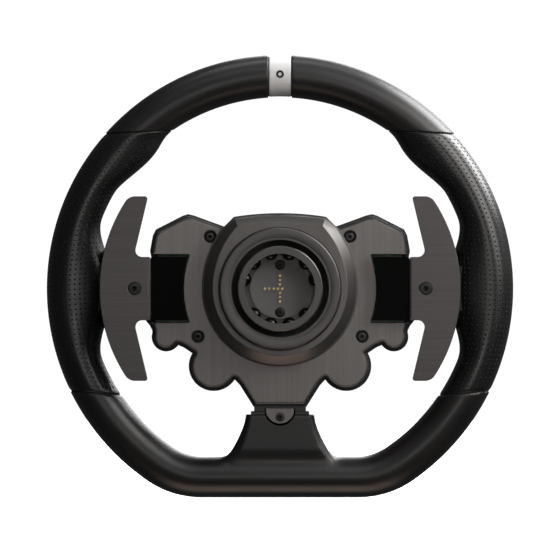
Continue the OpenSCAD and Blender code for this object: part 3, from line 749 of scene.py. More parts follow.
def make_materials():
    """Every finish, by the name of its slot."""
    f = look("wheel_finishes")
    hub_tone = [c * 0.68 for c in f.cover]
    return {
        # Soft-touch polyurethane over a rigid core: satin, with broad soft highlights
        "rim_moulding": moulded("Soft-touch polyurethane, moulded", f.rim, 0.4, 0.5, 0.012, 0.03),
        # Perforated leather: satin black, pebbled, with rows of small dark holes
        "grip_leather": leather("Perforated leather, dyed black", f.leather),
        # Painted shade: near-black, dull foam in the holes, sockets and grooves, darker than the lamps
        # alone make them
        "hole": hollow_shade_finish("Painted shade in perforations and sockets", linear("050505")),
        "seam": hollow_shade_finish("Painted shade in the seam grooves", linear("040404")),
        # Silver paint on a moulded band: pale satin with a faint sparkle
        "marker_silver": painted_silver("Satin silver paint", f.marker),
        # Spark-eroded housings: dull, fine-grained blacks and greys
        "shell_black": moulded("Glass-filled ABS, moulded", f.shell, 0.5, 0.4, 0.03),
        "inner_plastic": moulded("Nylon, moulded", linear("202022"), 0.5, 0.4, 0.02),
        "disc_grey": moulded("Glass-filled nylon, moulded", linear("5a5857"), 0.5, 0.35, 0.01),
        # Controls: satin caps and duller rubber
        "button_plastic": moulded("ABS keycap, satin moulded", linear("29292b"), 0.4, 0.35, 0.01),
        "button_rubber": moulded("Silicone rubber, textured", linear("1c1c1e"), 0.62, 0.5, 0.04),
        # Brushed and anodised dark grey: upright strokes on the cover, level ones on the paddles
        "cover_grey": brushed("Anodised aluminium, brushed upright", f.cover, 0.42, "Z", 0.2, 0.09),
        "paddle_grey": brushed("Anodised aluminium, brushed level", f.paddle, 0.42, "X", 0.3, 0.12),
        # The cover's metal at 0.68 of its tone, with hardly any grain and no sideways sheen: darker and
        # even, its glow the same all round
        "hub_grey": brushed(
            "Anodised aluminium, darker and unbrushed", hub_tone, 0.4, "Z", 0.5, 0.03, anisotropy=0.0
        ),
        # Black anodised alloy behind the coverings: near black, with a soft sheen
        "frame_alloy": brushed(
            "Aluminium alloy, black anodised", linear("151516"), 0.45, "X", 0.4, 0.1, 0.5
        ),
        # Turned and anodised: faint rings round the axis
        "ring_black": turned("Anodised aluminium, turned", f.hub, 0.42),
        "collar_black": turned("Anodised aluminium, turned collar", f.hub, 0.4, 0.4),
        # Steel: bright where it is ground or polished, and black or grey where it is treated
        "bright_steel": turned("Stainless steel, ground", linear("9a9b9c"), 0.28, 0.25, 1.0),
        "spring_steel": polished("Spring steel, drawn", linear("8a8b8d"), 0.3),
        "ball_steel": polished("Bearing steel, polished", linear("2c2c2d"), 0.2),
        "screw_black": turned("Alloy steel, black oxide", linear("080808"), 0.42, 0.2, 0.2),
        "screw_grey": turned("Alloy steel, zinc plated and darkened", linear("484645"), 0.42, 0.2, 0.6),
        # Powder coat: flat black that hardly answers the light
        "lever_black": moulded(
            "Powder-coated steel", linear("030303"), 0.6, 0.6, 0.02, **{"Specular IOR Level": 0.05}
        ),
        # Gold plate: small warm points
        "contact_gold": polished("Gold plate on brass", f.contact, 0.22),
        # Gloss plastics: sharp reflections on black
        "cap_gloss": polished("Gloss ABS, polished", linear("0e0e0f"), 0.12, 0.0),
        "smoked_lens": polished("Smoked acrylic", linear("101013"), 0.08, 0.0),
        # Circuit board: green under clear lacquer
        "board_green": circuit("Solder mask on glass epoxy", linear("1d4a2c")),
    }


# ---- Pieces ----

# Points round the rim's section
SECTION_STEPS = 96


def moulding_roll():
    """How far the moulded coverings roll over at a seam: a little less than the leather does."""
    return look("wheel_rim").seam_round / MM * 0.6


class WheelOperator:
    """What every step shares: it is listed in the panel, and any failure is raised."""

    bl_options = {"REGISTER", "UNDO"}

    def execute(self, context):
        self.build()
        return {"FINISHED"}


class WHEEL_OT_materials(WheelOperator, bpy.types.Operator):
    """Makes the finishes and gives each CAD node its own"""

    bl_idname = "wheel.materials"
    bl_label = "Finishes"

    def build(self):
        MATERIALS.update(make_materials())
        slots = {s["node"]: s["material_slot"] for s in frame["record"]["subparts"]}
        for node, obj in NODES.items():
            obj.data.materials.clear()
            obj.data.materials.append(MATERIALS[slots[node]])


class WHEEL_OT_rim_tops(WheelOperator, bpy.types.Operator):
    """Makes the two smooth upper lengths of the rim"""

    bl_idname = "wheel.rim_tops"
    bl_label = "Upper rim"

    def build(self):
        rim = Rim()
        stations = [rim.top(t) for t in np.linspace(0, 1, 41)]
        shape = rolled_sweep(rim, stations, round_angles(SECTION_STEPS), moulding_roll())
        for side in SIDES:
            verts, faces = on_side(side, *shape)
            piece(f"rim_top_{side}_skin", verts, faces, "wheel", "rim_moulding", [f"rim_top_{side}"])


def geometry_tree(name, **inputs):
    """An empty node tree that takes a mesh and gives one, with more named inputs of given kinds."""
    tree = bpy.data.node_groups.new(name, "GeometryNodeTree")
    tree.interface.new_socket("Geometry", in_out="OUTPUT", socket_type="NodeSocketGeometry")
    for label, kind in {"Geometry": "Geometry", **inputs}.items():
        tree.interface.new_socket(label, in_out="INPUT", socket_type=f"NodeSocket{kind}")
    return tree, add(tree, "NodeGroupInput")


def finished_tree(tree, geometry, finish, hollow_shade_faces):
    """Ends a tree: makes its instances real, and gives it a finish, with near-black painted shade on the
    marked faces.
    """
    real = add(tree, "GeometryNodeRealizeInstances", {"Geometry": geometry})
    sockets = {"Geometry": real.outputs[0], "Material": finish}
    coated = add(tree, "GeometryNodeSetMaterial", sockets)
    # painted shade: the near-black foam finish goes on the marked faces
    deep = add(tree, "GeometryNodeInputNamedAttribute", {"Name": hollow_shade_faces}, data_type="BOOLEAN")
    sockets = {
        "Geometry": coated.outputs[0],
        "Selection": deep.outputs[0],
        "Material": MATERIALS["hole"],
    }
    dark = add(tree, "GeometryNodeSetMaterial", sockets)
    add(tree, "NodeGroupOutput", {0: dark.outputs[0]})


def perforation_tree():
    """Cuts a round-bottomed hole in each face of a grid that is marked for one, and marks its wall and
    floor for painted shade.
    """
    tree, source = geometry_tree("Perforations", **{"Hole share": "Float", "Depth": "Float"})
    marked = add(tree, "GeometryNodeInputNamedAttribute", {"Name": "perforated"}, data_type="BOOLEAN")
    sockets = {
        "Mesh": source.outputs[0],
        "Selection": marked.outputs[0],
        "Offset Scale": 0.0,
        "Individual": True,
    }
    lip = add(tree, "GeometryNodeExtrudeMesh", sockets, mode="FACES")
    sockets = {
        "Geometry": lip.outputs["Mesh"],
        "Selection": lip.outputs["Top"],
        "Scale": source.outputs["Hole share"],
    }
    ring = add(tree, "GeometryNodeScaleElements", sockets)
    sockets = {0: source.outputs["Depth"], 1: -1.0}
    down = add(tree, "ShaderNodeMath", sockets, operation="MULTIPLY")
    sockets = {
        "Mesh": ring.outputs[0],
        "Selection": lip.outputs["Top"],
        "Offset Scale": down.outputs[0],
        "Individual": True,
    }
    wall = add(tree, "GeometryNodeExtrudeMesh", sockets, mode="FACES")
    sockets = {"Geometry": wall.outputs["Mesh"], "Selection": wall.outputs["Top"], "Scale": 0.8}
    cut = add(tree, "GeometryNodeScaleElements", sockets)
    # the hole's wall and floor are marked to take the painted shade
    for part in ("Top", "Side"):
        sockets = {
            "Geometry": cut.outputs[0],
            "Selection": wall.outputs[part],
            "Name": "hole_inside",
            "Value": True,
        }
        kinds = {"data_type": "BOOLEAN", "domain": "FACE"}
        cut = add(tree, "GeometryNodeStoreNamedAttribute", sockets, **kinds)
    smooth = add(tree, "GeometryNodeSubdivisionSurface", {"Mesh": cut.outputs[0], "Level": 1})
    finished_tree(tree, smooth.outputs[0], MATERIALS["grip_leather"], "hole_inside")
    return tree


def grown(mesh, tree, **inputs):
    """A mesh put through a node tree, with the tree's named inputs set."""
    obj = loose("grown", mesh)
    nodes = obj.modifiers.new("nodes", "NODES")
    nodes.node_group = tree
    ids = {s.name: s.identifier for s in tree.interface.items_tree if s.in_out == "INPUT"}
    for name, value in inputs.items():
        nodes[ids[name]] = value
    return evaluated(obj)


class WHEEL_OT_grips(WheelOperator, bpy.types.Operator):
    """Makes the two leather grips, with their perforations cut by Geometry Nodes"""

    bl_idname = "wheel.grips"
    bl_label = "Leather grips"

    # faces round the inner quarters and the outer half of the section
    quarter, outer_half = 12, 14
    # distance between perforations, in millimetres
    pitch = 3.06
    # how far the rows slant, in degrees, and how fast they straighten at the ends
    slant, slant_power = -7.5, 6

    def half_angles(self, reach, half_thick, start, stop, count, pitch=None):
        """Section angles along part of a section. With a pitch, the columns keep that spacing
        from the start, and those left over share what remains."""
        t = np.linspace(start, stop, 181)
        p = np.stack([reach * np.cos(t), half_thick * np.sin(t)], 1)
        run = np.concatenate([[0], np.cumsum(np.linalg.norm(np.diff(p, axis=0), axis=1))])
        at = np.linspace(0, run[-1], count + 1)
        if pitch:
            regular = min(int(run[-1] / pitch - 0.15), count - 1)
            rest = np.linspace(regular * pitch, run[-1], count - regular + 1)[1:]
            at = np.concatenate([np.arange(regular + 1) * pitch, rest])
        return list(np.interp(at, run, t)), np.diff(at)

    def build(self):
        rim, sizes = Rim(), look("wheel_grips")
        inset, half = sizes.inset / MM, rim.thick / 2
        roll = look("wheel_rim").seam_round / MM
        right = math.pi / 2

        def ring(t, extra):
            st = rim.grip(t, self.slant * (1 - (2 * t - 1) ** self.slant_power))
            outer, wide = self.half_angles(st[4], half, right, 3 * right, self.outer_half)
            low, w1 = self.half_angles(st[3], half, -right, 0, self.quarter, self.pitch)
            high, w2 = self.half_angles(st[3], half, right, 0, self.quarter, self.pitch)
            angles = outer[:-1] + low[:-1] + high[:0:-1]
            return np.asarray(rim.ring(st, angles, inset + extra)), np.concatenate([wide, w1, w2[::-1]])

        rows, steps = sizes.rows, end_rolls(roll)
        edge = 0.7 / rows / roll
        stops = [(edge * along, extra) for extra, along in steps[:-1]]
        stops += [(k / rows, 0.0) for k in range(1, rows)]
        stops += [(1 - edge * along, extra) for extra, along in reversed(steps[:-1])]
        rings, widths = zip(*(ring(t, extra) for t, extra in stops))
        verts, faces = bridged(rings)
        marked = []
        for k in range(len(rings) - 1):
            whole = stops[k][1] == 0 and stops[k + 1][1] == 0
            marked += list(whole & (np.minimum(widths[k], widths[k + 1]) > 0.8 * self.pitch))
        marked += [False] * (len(faces) - len(marked))
        tree = perforation_tree()
        for side in SIDES:
            v, f = on_side(side, verts, faces)
            mesh = bpy.data.meshes.new("grip")
            mesh.from_pydata([tuple(c * MM) for c in v], [], [tuple(map(int, q)) for q in f])
            flag = mesh.attributes.new("perforated", "BOOLEAN", "FACE")
            flag.data.foreach_set("value", np.array(marked, bool))
            plain = mesh.copy()
            mesh = grown(mesh, tree, **{"Hole share": sizes.hole, "Depth": sizes.depth})
            mesh, replaced = self.evened(mesh, plain), [f"rim_grip_{side}"]
            settle(f"grip_{side}_leather", mesh, "wheel", "grip_leather", replaced, smooth=False)

    def evened(self, mesh, plain):
        """Takes the shading from the skin before it was perforated, except down in the holes."""
        mesh.shade_smooth()
        plain.shade_smooth()
        corner = np.empty(len(mesh.loops), np.int32)
        mesh.loops.foreach_get("vertex_index", corner)
        total = np.empty(len(mesh.polygons), np.int32)
        mesh.polygons.foreach_get("loop_total", total)
        inside = np.empty(len(mesh.polygons), bool)
        mesh.attributes["hole_inside"].data.foreach_get("value", inside)
        on_skin = np.zeros(len(mesh.vertices), bool)
        on_skin[corner[np.repeat(~inside, total)]] = True
        obj, source = loose("evened", mesh), loose("plain", plain)
        obj.vertex_groups.new(name="skin").add(np.flatnonzero(on_skin).tolist(), 1.0, "REPLACE")
        even = obj.modifiers.new("even", "DATA_TRANSFER")
        even.object, even.use_loop_data, even.data_types_loops = source, True, {"CUSTOM_NORMAL"}
        even.loop_mapping, even.vertex_group = "POLYINTERP_NEAREST", "skin"
        result = evaluated(obj)
        bpy.data.objects.remove(source)
        return result


class WHEEL_OT_seams(WheelOperator, bpy.types.Operator):
    """Makes the foam in the grooves between the rim's coverings, near black as painted shade"""

    bl_idname = "wheel.seams"
    bl_label = "Seam grooves"

    # how far the foam lies under the coverings, in millimetres
    depth, marker_depth = 0.85, 0.95

    def build(self):
        rim = Rim()
        angles = round_angles(64)
        grooves = {
            "upper": [rim.grip(t) for t in (0.988, 0.994, 1.0)] + [rim.top(0.02)],
            "lower": [rim.bottom(2.98)] + [rim.grip(t) for t in (0.0, 0.006, 0.012)],
        }
        for side in SIDES:
            for name, stations in grooves.items():
                shape = bridged([rim.ring(st, angles, self.depth) for st in stations])
                verts, faces = on_side(side, *shape)
                # the groove's foam takes the near-black painted shade
                piece(f"seam_{name}_{side}", verts, faces, "wheel", "rim_moulding", finish="seam")
        reach = rim.marker_half + 0.8
        stations = [rim.under_marker(x) for x in np.linspace(-reach, reach, 5)]
        verts, faces = bridged([rim.ring(st, angles, self.marker_depth) for st in stations])
        # the groove round the marker takes the same painted shade
        piece("seam_marker", verts, faces, "wheel", "rim_moulding", finish="seam")


class WHEEL_OT_marker(WheelOperator, bpy.types.Operator):
    """Makes the silver marker at the top of the rim"""

    bl_idname = "wheel.marker"
    bl_label = "Top marker"

    def build(self):
        rim = Rim()
        half = rim.marker_half - 0.2
        start = [(-half, 0.5), (-half + 0.12, 0.2), (-half + 0.45, 0.0)]
        middle = [(x, 0.0) for x in np.linspace(-half + 1, half - 1, 9)]
        end = [(-x, extra) for x, extra in reversed(start)]
        rings = []
        for x, extra in start + middle + end:
            rings.append(rim.ring(rim.under_marker(x), round_angles(SECTION_STEPS), 0.6 + extra))
        piece("marker_band", *bridged(rings), "wheel", "marker_silver", ["centre_marker"])


class WHEEL_OT_rim_bottom(WheelOperator, bpy.types.Operator):
    """Makes the moulded lower rim and bottom spoke as one soft-edged piece"""

    bl_idname = "wheel.rim_bottom"
    bl_label = "Lower rim and spoke"

    # the spoke's upper end, and the drop over which it widens into the rim, in millimetres
    top, run = -75.4, 31.6
    # the pocket's middle and radius, and the angles of its lower edge's ends
    pocket_z, pocket_r, pocket_arc = -72.6, 9.3, (173.8, 366.2)
    # name, half width, lower and upper end, rear and front depth
    steps = (("lower", 17.4, -75.6, -73.5, 33, 51), ("upper", 15.5, -73.6, -66, 34, 50))

    def half_width(self, drop):
        return 20.4 + 0.086 * drop**1.5 + 0.07 * max(0, drop - 21) ** 2

    def spoke(self):
        """The spoke as a stack of bevelled slices, running into the rim."""
        rings = []
        for drop in np.linspace(0, 34, 35):
            w = self.half_width(min(drop, self.run))
            y0 = mix(32.4, 33.1, min(drop / 24, 1)) + 1.7 * ease((drop - 20) / 11)
            y1 = mix(51.5, 58.5, drop / self.run)
            b = mix(2.2, 7.5, (drop / self.run) ** 1.5)
            rear = [(-w, y0 + 3), (-w + b, y0), (w - b, y0), (w, y0 + 3)]
            front = [(w, y1 - 3), (w - b, y1), (-w + b, y1), (-w, y1 - 3)]
            rings.append([(x, y, self.top - drop) for x, y in rear + front])
        return bridged(rings)

    def build(self):
        rim = Rim()
        stops = (np.linspace(0, 0.98, 16), np.linspace(1, 1.98, 34), np.linspace(2, 3, 24))
        half = [rim.bottom(s) for s in np.concatenate(stops)]
        left = [(-x, z, 180 - way, a, b) for x, z, way, a, b in reversed(half[1:])]
        verts, faces = rolled_sweep(rim, left + half, round_angles(SECTION_STEPS), moulding_roll())
        spoke_verts, spoke_faces = self.spoke()
        faces = list(faces) + [tuple(i + len(verts) for i in f) for f in spoke_faces]
        obj = loose("lower", skin("lower", np.vstack([verts, spoke_verts]), faces))
        remesh = obj.modifiers.new("one_skin", "REMESH")
        remesh.mode = "VOXEL"
        remesh.voxel_size = 0.85 * MM
        mesh = evaluated(obj)
        self.relax(mesh)
        mesh = self.pocketed(mesh)
        settle("rim_bottom_skin", mesh, "wheel", "rim_moulding", ["rim_bottom"], crease=60)

        for name, half, low, high, y0, y1 in self.steps:
            outline = np.array([(-half, low), (half, low), (half, high), (-half, high)])
            verts, faces = plate([(fillet(outline, 0.3), edge_profile(y0, y1, 0.25), 1.0)])
            mesh = self.pocketed(skin(name, verts, faces))
            settle(f"spoke_step_{name}", mesh, "wheel", "rim_moulding", crease=30)

    def pocketed(self, mesh):
        """Cuts the round pocket that the clamp sits in."""
        r, turns = self.pocket_r, np.linspace(*self.pocket_arc, 81)
        outline = [(r * cosd(a), self.pocket_z + r * sind(a)) for a in turns]
        verts, faces = plate([(np.array(outline), [(0, 28), (0, 36)], 1.0)])
        cutter, obj = loose("pocket", skin("pocket", verts, faces)), loose("pocketed", mesh)
        cut = obj.modifiers.new("pocket", "BOOLEAN")
        cut.object, cut.operation, cut.solver = cutter, "DIFFERENCE", "MANIFOLD"
        result = evaluated(obj)
        bpy.data.objects.remove(cutter)
        return result

    def relax(self, mesh):
        """Smooths the skin a little everywhere, and more in the hollow between spoke and rim."""
        n = len(mesh.vertices)
        v = np.empty(n * 3, np.float32)
        mesh.vertices.foreach_get("co", v)
        v = v.reshape(-1, 3).astype(float)
        ends = np.empty(len(mesh.edges) * 2, np.int32)
        mesh.edges.foreach_get("vertices", ends)
        one, other = ends.reshape(-1, 2).T
        count = np.bincount(ends, minlength=n)[:, None]

        def average(p):
            """Each corner's mean place among its neighbours."""
            total = np.zeros_like(p)
            for axis in range(3):
                at = p[:, axis]
                total[:, axis] = np.bincount(one, at[other], n) + np.bincount(other, at[one], n)
            return total / np.maximum(count, 1)

        for _ in range(4):  # a pair of steps, in and out, that keeps the size
            v = v + 0.5 * (average(v) - v)
            v = v - 0.52 * (average(v) - v)
        x, _, z = (v[:, k] / MM for k in range(3))
        near = np.clip((60 - np.abs(x)) / 8, 0, 1)
        hollow = np.exp(-(((z + 105.0) / 4.2) ** 2)) * near
        for _ in range(45):
            v = v + 0.6 * hollow[:, None] * (average(v) - v)
        mesh.vertices.foreach_set("co", v.astype(np.float32).ravel())
        mesh.update()


class WHEEL_OT_cover(WheelOperator, bpy.types.Operator):
    """Makes the rear cover, with its stepped edge"""

    bl_idname = "wheel.cover"
    bl_label = "Rear cover"

    # depths of the face, of the joint with the front shell, and of the face's inner side
    face, joint, inner = 30.0, 44.0, 32.5
    # (inset, depth under the face): flat, fine groove, light chamfer, then the dark outer band
    edge = (
        (2.3, 0), (1.86, 0), (1.78, 0.06), (1.74, 0.25), (1.66, 0.25), (1.6, 0.1), (1.5, 0.06),
        (1.12, 0.4), (1.04, 0.55), (0.98, 0.95), (0.4, 1.0), (0.12, 1.12), (0, 1.5),
    )
    # the step of the edge where the dark band starts
    band = 8
    # holes above this radius, in millimetres, are eased more finely and less
    large = 10

    def build(self):
        loops = edge_loops("rear_cover", self.face)
        outer = resampled(fillet(loops[0], 1.7), 2.0)
        in_notch = (np.abs(outer[:, 0]) > 40) & (np.abs(outer[:, 1]) < 20.45)
        weights = np.where(in_notch, 0.2, 1.0)
        profile = [(inset, self.face + drop) for inset, drop in self.edge]
        profile += [(0, self.joint), (2.4, self.joint), (2.4, self.inner)]
        parts = [(outer, profile, weights)]
        for hole in loops[1:]:
            centre = hole.mean(0)
            r = np.linalg.norm(hole - centre, axis=1).mean()
            ease_r, count = (0.1, 128) if r > self.large else (0.25, 48)
            steps = [(ease_r * 1.8, self.face)]
            for a in (0, 30, 60, 90):
                steps.append((ease_r * (1 - sind(a)), self.face + ease_r * (1 - cosd(a))))
            parts.append((circle(*centre, r, count), [*steps, (0, self.inner)], 1.0))
        cover = piece("rear_cover_skin", *plate(parts), "wheel", "cover_grey", ["rear_cover"])
        cover.data.materials.append(MATERIALS["shell_black"])
        dark = slice(self.band * len(outer), (len(profile) - 1) * len(outer))
        for polygon in cover.data.polygons[dark]:
            polygon.material_index = 1


class WHEEL_OT_housing(WheelOperator, bpy.types.Operator):
    """Makes the bevelled housing round the quick release"""

    bl_idname = "wheel.housing"
    bl_label = "Hub housing"

    # radii of the lower half circle, the sides and the top arch, and the height of its centre
    radius, side_radius, top_radius, top_centre = 45.5, 59.8, 172.9, -129.4
    # (inset, depth): rear face, softened edge, long bevel, softened edge, wall
    outside = (
        (5.9, 14), (5.62, 14), (5.45, 14.03), (5.3, 14.13), (5.15, 14.28),
        (0.3, 19.68), (0.12, 19.9), (0.02, 20.15), (0, 20.45), (0, 30),
    )
    # (radius, depth): rear face, softened edge, wall, and the wider room behind
    bore = ((36.9, 14), (36.55, 14), (36.38, 14.07), (36.3, 14.25), (36.3, 19.7), (39, 19.7), (39, 30))
    # (inset, depth) of the low step where the housing stands on the cover
    foot = ((0.9, 29.5), (0.25, 29.5), (0.08, 29.58), (0, 29.75), (0, 30.05))

    def outline(self, inset):
        """A half circle below, flatter sides and a shallow arch on top."""
        shift = self.side_radius - self.radius
        side_top, arch = 36.8 + 1.2 * inset, 81.05 + 0.06 * inset
        rows = (
            (0, 0, self.radius - inset, 180, 360, 90),
            (-shift, 0, self.side_radius - inset, 4, side_top, 24),
            (0, self.top_centre, self.top_radius - 0.75 * inset, arch, 180 - arch, 30),
            (shift, 0, self.side_radius - inset, 180 - side_top, 176, 24),
        )
        points = []
        for x, z, r, a0, a1, n in rows:
            points += [(x + r * cosd(a), z + r * sind(a)) for a in np.linspace(a0, a1, n + 1)]
        return np.array(points)

    def build(self):
        shell = [[(x, y, z) for x, z in self.outline(inset)] for inset, y in self.outside]
        bore = [[(x, y, z) for x, z in circle(0, 0, r, 144)] for r, y in self.bore]
        shape = joined(shell, bore)
        obj = piece("hub_housing_skin", *shape, "wheel", "cover_grey", ["hub_housing"], "hub_grey")
        obj.data.set_sharp_from_angle(angle=math.radians(24))
        hole = (circle(0, 0, 44, 96), [(0, 29.5), (0, 30.05)], 1.0)
        shape = plate([(self.outline(-1.1), self.foot, 1.0), hole])
        piece("hub_foot", *shape, "wheel", "cover_grey", finish="hub_grey")


class WHEEL_OT_paddles(WheelOperator, bpy.types.Operator):
    """Makes the two brushed paddles with their countersunk screws"""

    bl_idname = "wheel.paddles"
    bl_label = "Paddles"

    # depths of the faces, and the screw's distance from the axis
    rear, front, screw_x = 20.5, 23.0, 86.8
    # (inset, depth under the rear face), and how much wider the bevel is along the neck
    edge = (
        (0.5, 0), (0.26, 0), (0.2, 0.01), (0.1, 0.08),
        (0.03, 0.18), (0, 0.26), (0, 2.4), (0.04, 2.5),
    )
    neck_bevel = 5.2
    # (radius, depth) of the countersink
    cone = ((4.25, 20.5), (4.12, 20.5), (4.0, 20.56), (3.92, 20.7), (2.1, 22.6), (2.1, 23.0))

    def build(self):
        thickness = self.front - self.rear
        for side, sign in zip(SIDES, (-1, 1)):
            outer = resampled(edge_loops(f"paddle_{side}", self.front)[0], 1.5)
            neck = np.abs(outer[:, 0]) < np.abs(outer[:, 0]).min() + 0.05
            plate_rows = []
            for inset, drop in self.edge:
                rear_edge = drop < 1
                deeper = min(drop * (self.neck_bevel if rear_edge else 1), thickness)
                wider = self.neck_bevel if rear_edge else 1.0
                ring = inset_loop(outer, inset * np.where(neck, wider, 1.0))
                deep = np.where(neck, deeper, drop)
                plate_rows.append([(x, self.rear + d, z) for (x, z), d in zip(ring, deep)])
            x = sign * self.screw_x
            cone = [[(px, y, pz) for px, pz in circle(x, 0, r, 48)] for r, y in self.cone]
            shape = joined(plate_rows, cone)
            piece(f"paddle_{side}_plate", *shape, f"{side}_paddle", "paddle_grey", [f"paddle_{side}"])


def fastener_tree():
    """Stands a screw on each point, turned at random about its own axis."""
    tree, source = geometry_tree("Fasteners", Screw="Object", Finish="Material")
    shape = add(tree, "GeometryNodeObjectInfo", {"Object": source.outputs["Screw"]})
    # up to 60 degrees, after which a hex socket looks the same
    limits = {2: 0.0, 3: 1.04, "Seed": 7}
    turn = add(tree, "FunctionNodeRandomValue", limits, data_type="FLOAT")
    spin = add(tree, "ShaderNodeCombineXYZ", {1: turn.outputs[1]})
    sockets = {
        "Points": source.outputs[0],
        "Instance": shape.outputs["Geometry"],
        "Rotation": spin.outputs[0],
    }
    stand = add(tree, "GeometryNodeInstanceOnPoints", sockets)
    finished_tree(tree, stand.outputs[0], source.outputs["Finish"], "socket")
    return tree


class WHEEL_OT_fasteners(WheelOperator, bpy.types.Operator):
    """Stands the socket screws in their recesses with Geometry Nodes"""

    bl_idname = "wheel.fasteners"
    bl_label = "Screws"

    # (head radius, head height, shank radius, length, socket, socket depth, crown)
    cover_size = (2.75, 1.9, 1.4, 13.6, 1.2, 1.1, 0.5)
    disc_size = (2.85, 1.6, 1.2, 8.2, 1.15, 1.0, 0.4)
    trim_size = (2.35, 1.5, 1.1, 8.5, 1.0, 1.0, 0.08)
    paddle_size = (3.7, 0.6, 1.9, 6.2, 1.4, 1.6, 0.25)
    cover_places = [(x, 31.2, z) for x, z in ((41.7, 31), (-41.7, 31), (49, -28.7), (-49, -28.7))]
    # node, body, finish, places of the heads in millimetres, size
    rows = (
        ("cover_screws", "wheel", "screw_grey", cover_places, cover_size),
        ("disc_screws", "wheel", "screw_black", [(0, 12.6, 14.1), (0, 12.6, -14.1)], disc_size),
        ("trim_screws", "wheel", "screw_black", [(0, 31.95, 128.1), (0, 33.5, -76.9)], trim_size),
        ("paddle_screw_left", "left_paddle", "screw_black", [(-86.8, 20.6, 0)], paddle_size),
        ("paddle_screw_right", "right_paddle", "screw_black", [(86.8, 20.6, 0)], paddle_size),
    )

    def build(self):
        tree = fastener_tree()
        for node, body, finish, places, sizes in self.rows:
            verts, faces = screw(*sizes)
            shape = skin("screw", verts, faces)
            # the last faces are the socket's walls, then a fan for each end: shank, socket floor; the
            # socket's walls and floor get the painted shade
            marks = np.zeros(len(faces), bool)
            marks[-3 * SCREW_STEPS : -2 * SCREW_STEPS] = True
            marks[-SCREW_STEPS:] = True
            shape.attributes.new("socket", "BOOLEAN", "FACE").data.foreach_set("value", marks)
            pattern = loose("screw", shape)
            points = bpy.data.meshes.new(node)
            points.from_pydata([tuple(c * MM for c in p) for p in places], [], [])
            mesh = grown(points, tree, Screw=pattern, Finish=MATERIALS[finish])
            bpy.data.objects.remove(pattern)
            settle(node + "_heads", mesh, body, "screw_black", [node], crease=32)


class WHEEL_OT_release(WheelOperator, bpy.types.Operator):
    """Rounds the quick release's edges, paints shade into its groove with a near-black ring, and raises
    the contact carrier
    """

    bl_idname = "wheel.release"
    bl_label = "Quick release"

    # (radius, depth): mouth, fine line, rear face, rounded edge, grip flange, then back inside
    collar = (
        (28.9, 2.5), (28.95, 2.25), (29.1, 2.12), (30.1, 2.12), (30.16, 2.26), (30.3, 2.26),
        (30.36, 2.04), (30.5, 2.0), (34.9, 2.0), (35.3, 2.04), (35.65, 2.2), (35.9, 2.5),
        (36.0, 3.0), (36.0, 20.1), (38.3, 20.1), (38.5, 20.3), (38.5, 24.0), (25.4, 24.0),
        (25.4, 9.65), (28.9, 9.65),
    )
    # a thin near-black ring deep in the groove between ring and collar: painted shade
    painted_shade_ring = ((25.5, 9.3), (28.7, 9.3), (28.7, 9.5), (25.5, 9.5))
    # the T under the contacts, as seen from behind, and the (inset, depth) of its edge
    carrier = (
        (-1.8, -9.3), (2.2, -9.3), (2.2, 9.3), (-1.8, 9.3),
        (-1.8, 1.8), (-10.6, 1.8), (-10.6, -1.8), (-1.8, -1.8),
    )
    carrier_edge = ((0.3, 12.3), (0.08, 12.3), (0.02, 12.33), (0, 12.4), (0, 12.56))

    def build(self):
        shape = lathe(self.collar, steps=160)
        piece("release_collar_skin", *shape, "collar", "collar_black", ["release_collar"])
        # the groove's painted shade
        piece("groove_felt", *lathe(self.painted_shade_ring), "collar", "collar_black", finish="seam")
        outline = resampled(fillet(np.array(self.carrier), 0.5), 2.0)
        shape = plate([(outline, self.carrier_edge, 1.0)])
        piece("contact_carrier", *shape, "wheel", "disc_grey")


class WHEEL_OT_nodes(WheelOperator, bpy.types.Operator):
    """Rounds the edges of the smaller machined and moulded parts"""

    bl_idname = "wheel.edges"
    bl_label = "Rounded edges"

    def build(self):
        finished_node("front_shell", 0.5, "shell_black")
        for side in SIDES:
            finished_node(f"lever_{side}", 0.3, "lever_black")
            finished_node(f"side_spoke_{side}", 1.2, "rim_moulding")


# ---- Stage ----

# name, (azimuth from behind the wheel, elevation), distance, width, height, power, tint
LIGHTS = (
    ("front", (4, 4), 2.6, 0.6, 0.6, 5.5, "fffcf9"),
    ("top", (0, 54), 1.4, 1.0, 0.5, 2.2, "ffffff"),
    ("over", (20, 97), 1.3, 0.8, 0.35, 3.0, "ffffff"),
    ("key", (32, 30), 1.1, 0.8, 0.5, 2.4, "ffffff"),
    ("near right", (52, 24), 0.62, 0.3, 0.4, 2.4, "fffcf8"),
    ("rim right", (107, 41), 1.3, 0.8, 0.8, 36.0, "ffffff"),
    ("under", (0, -78), 1.4, 1.2, 0.9, 8.0, "ffe4d0"),
    ("driver", (165, 25), 2.2, 1.4, 1.0, 22.0, "ffffff"),
)
WHITE = (1, 1, 1, 1)


def soft_box(name, aim, distance, width, height, power, tint):
    """An area light that looks at the wheel from a direction, given as azimuth and elevation."""
    data = bpy.data.lights.new(name, "AREA")
    data.shape, data.size, data.size_y = "RECTANGLE", width, height
    data.energy = power * look("wheel_stage").level
    data.color = linear(tint)
    light = loose(name, data)
    azimuth, elevation = aim
    flat = cosd(elevation)
    way = Vector((sind(azimuth) * flat, -cosd(azimuth) * flat, sind(elevation)))
    light.location = Vector((0, 0.04, 0)) + way * distance
    light.rotation_mode = "QUATERNION"
    light.rotation_quaternion = way.to_track_quat("Z", "Y")


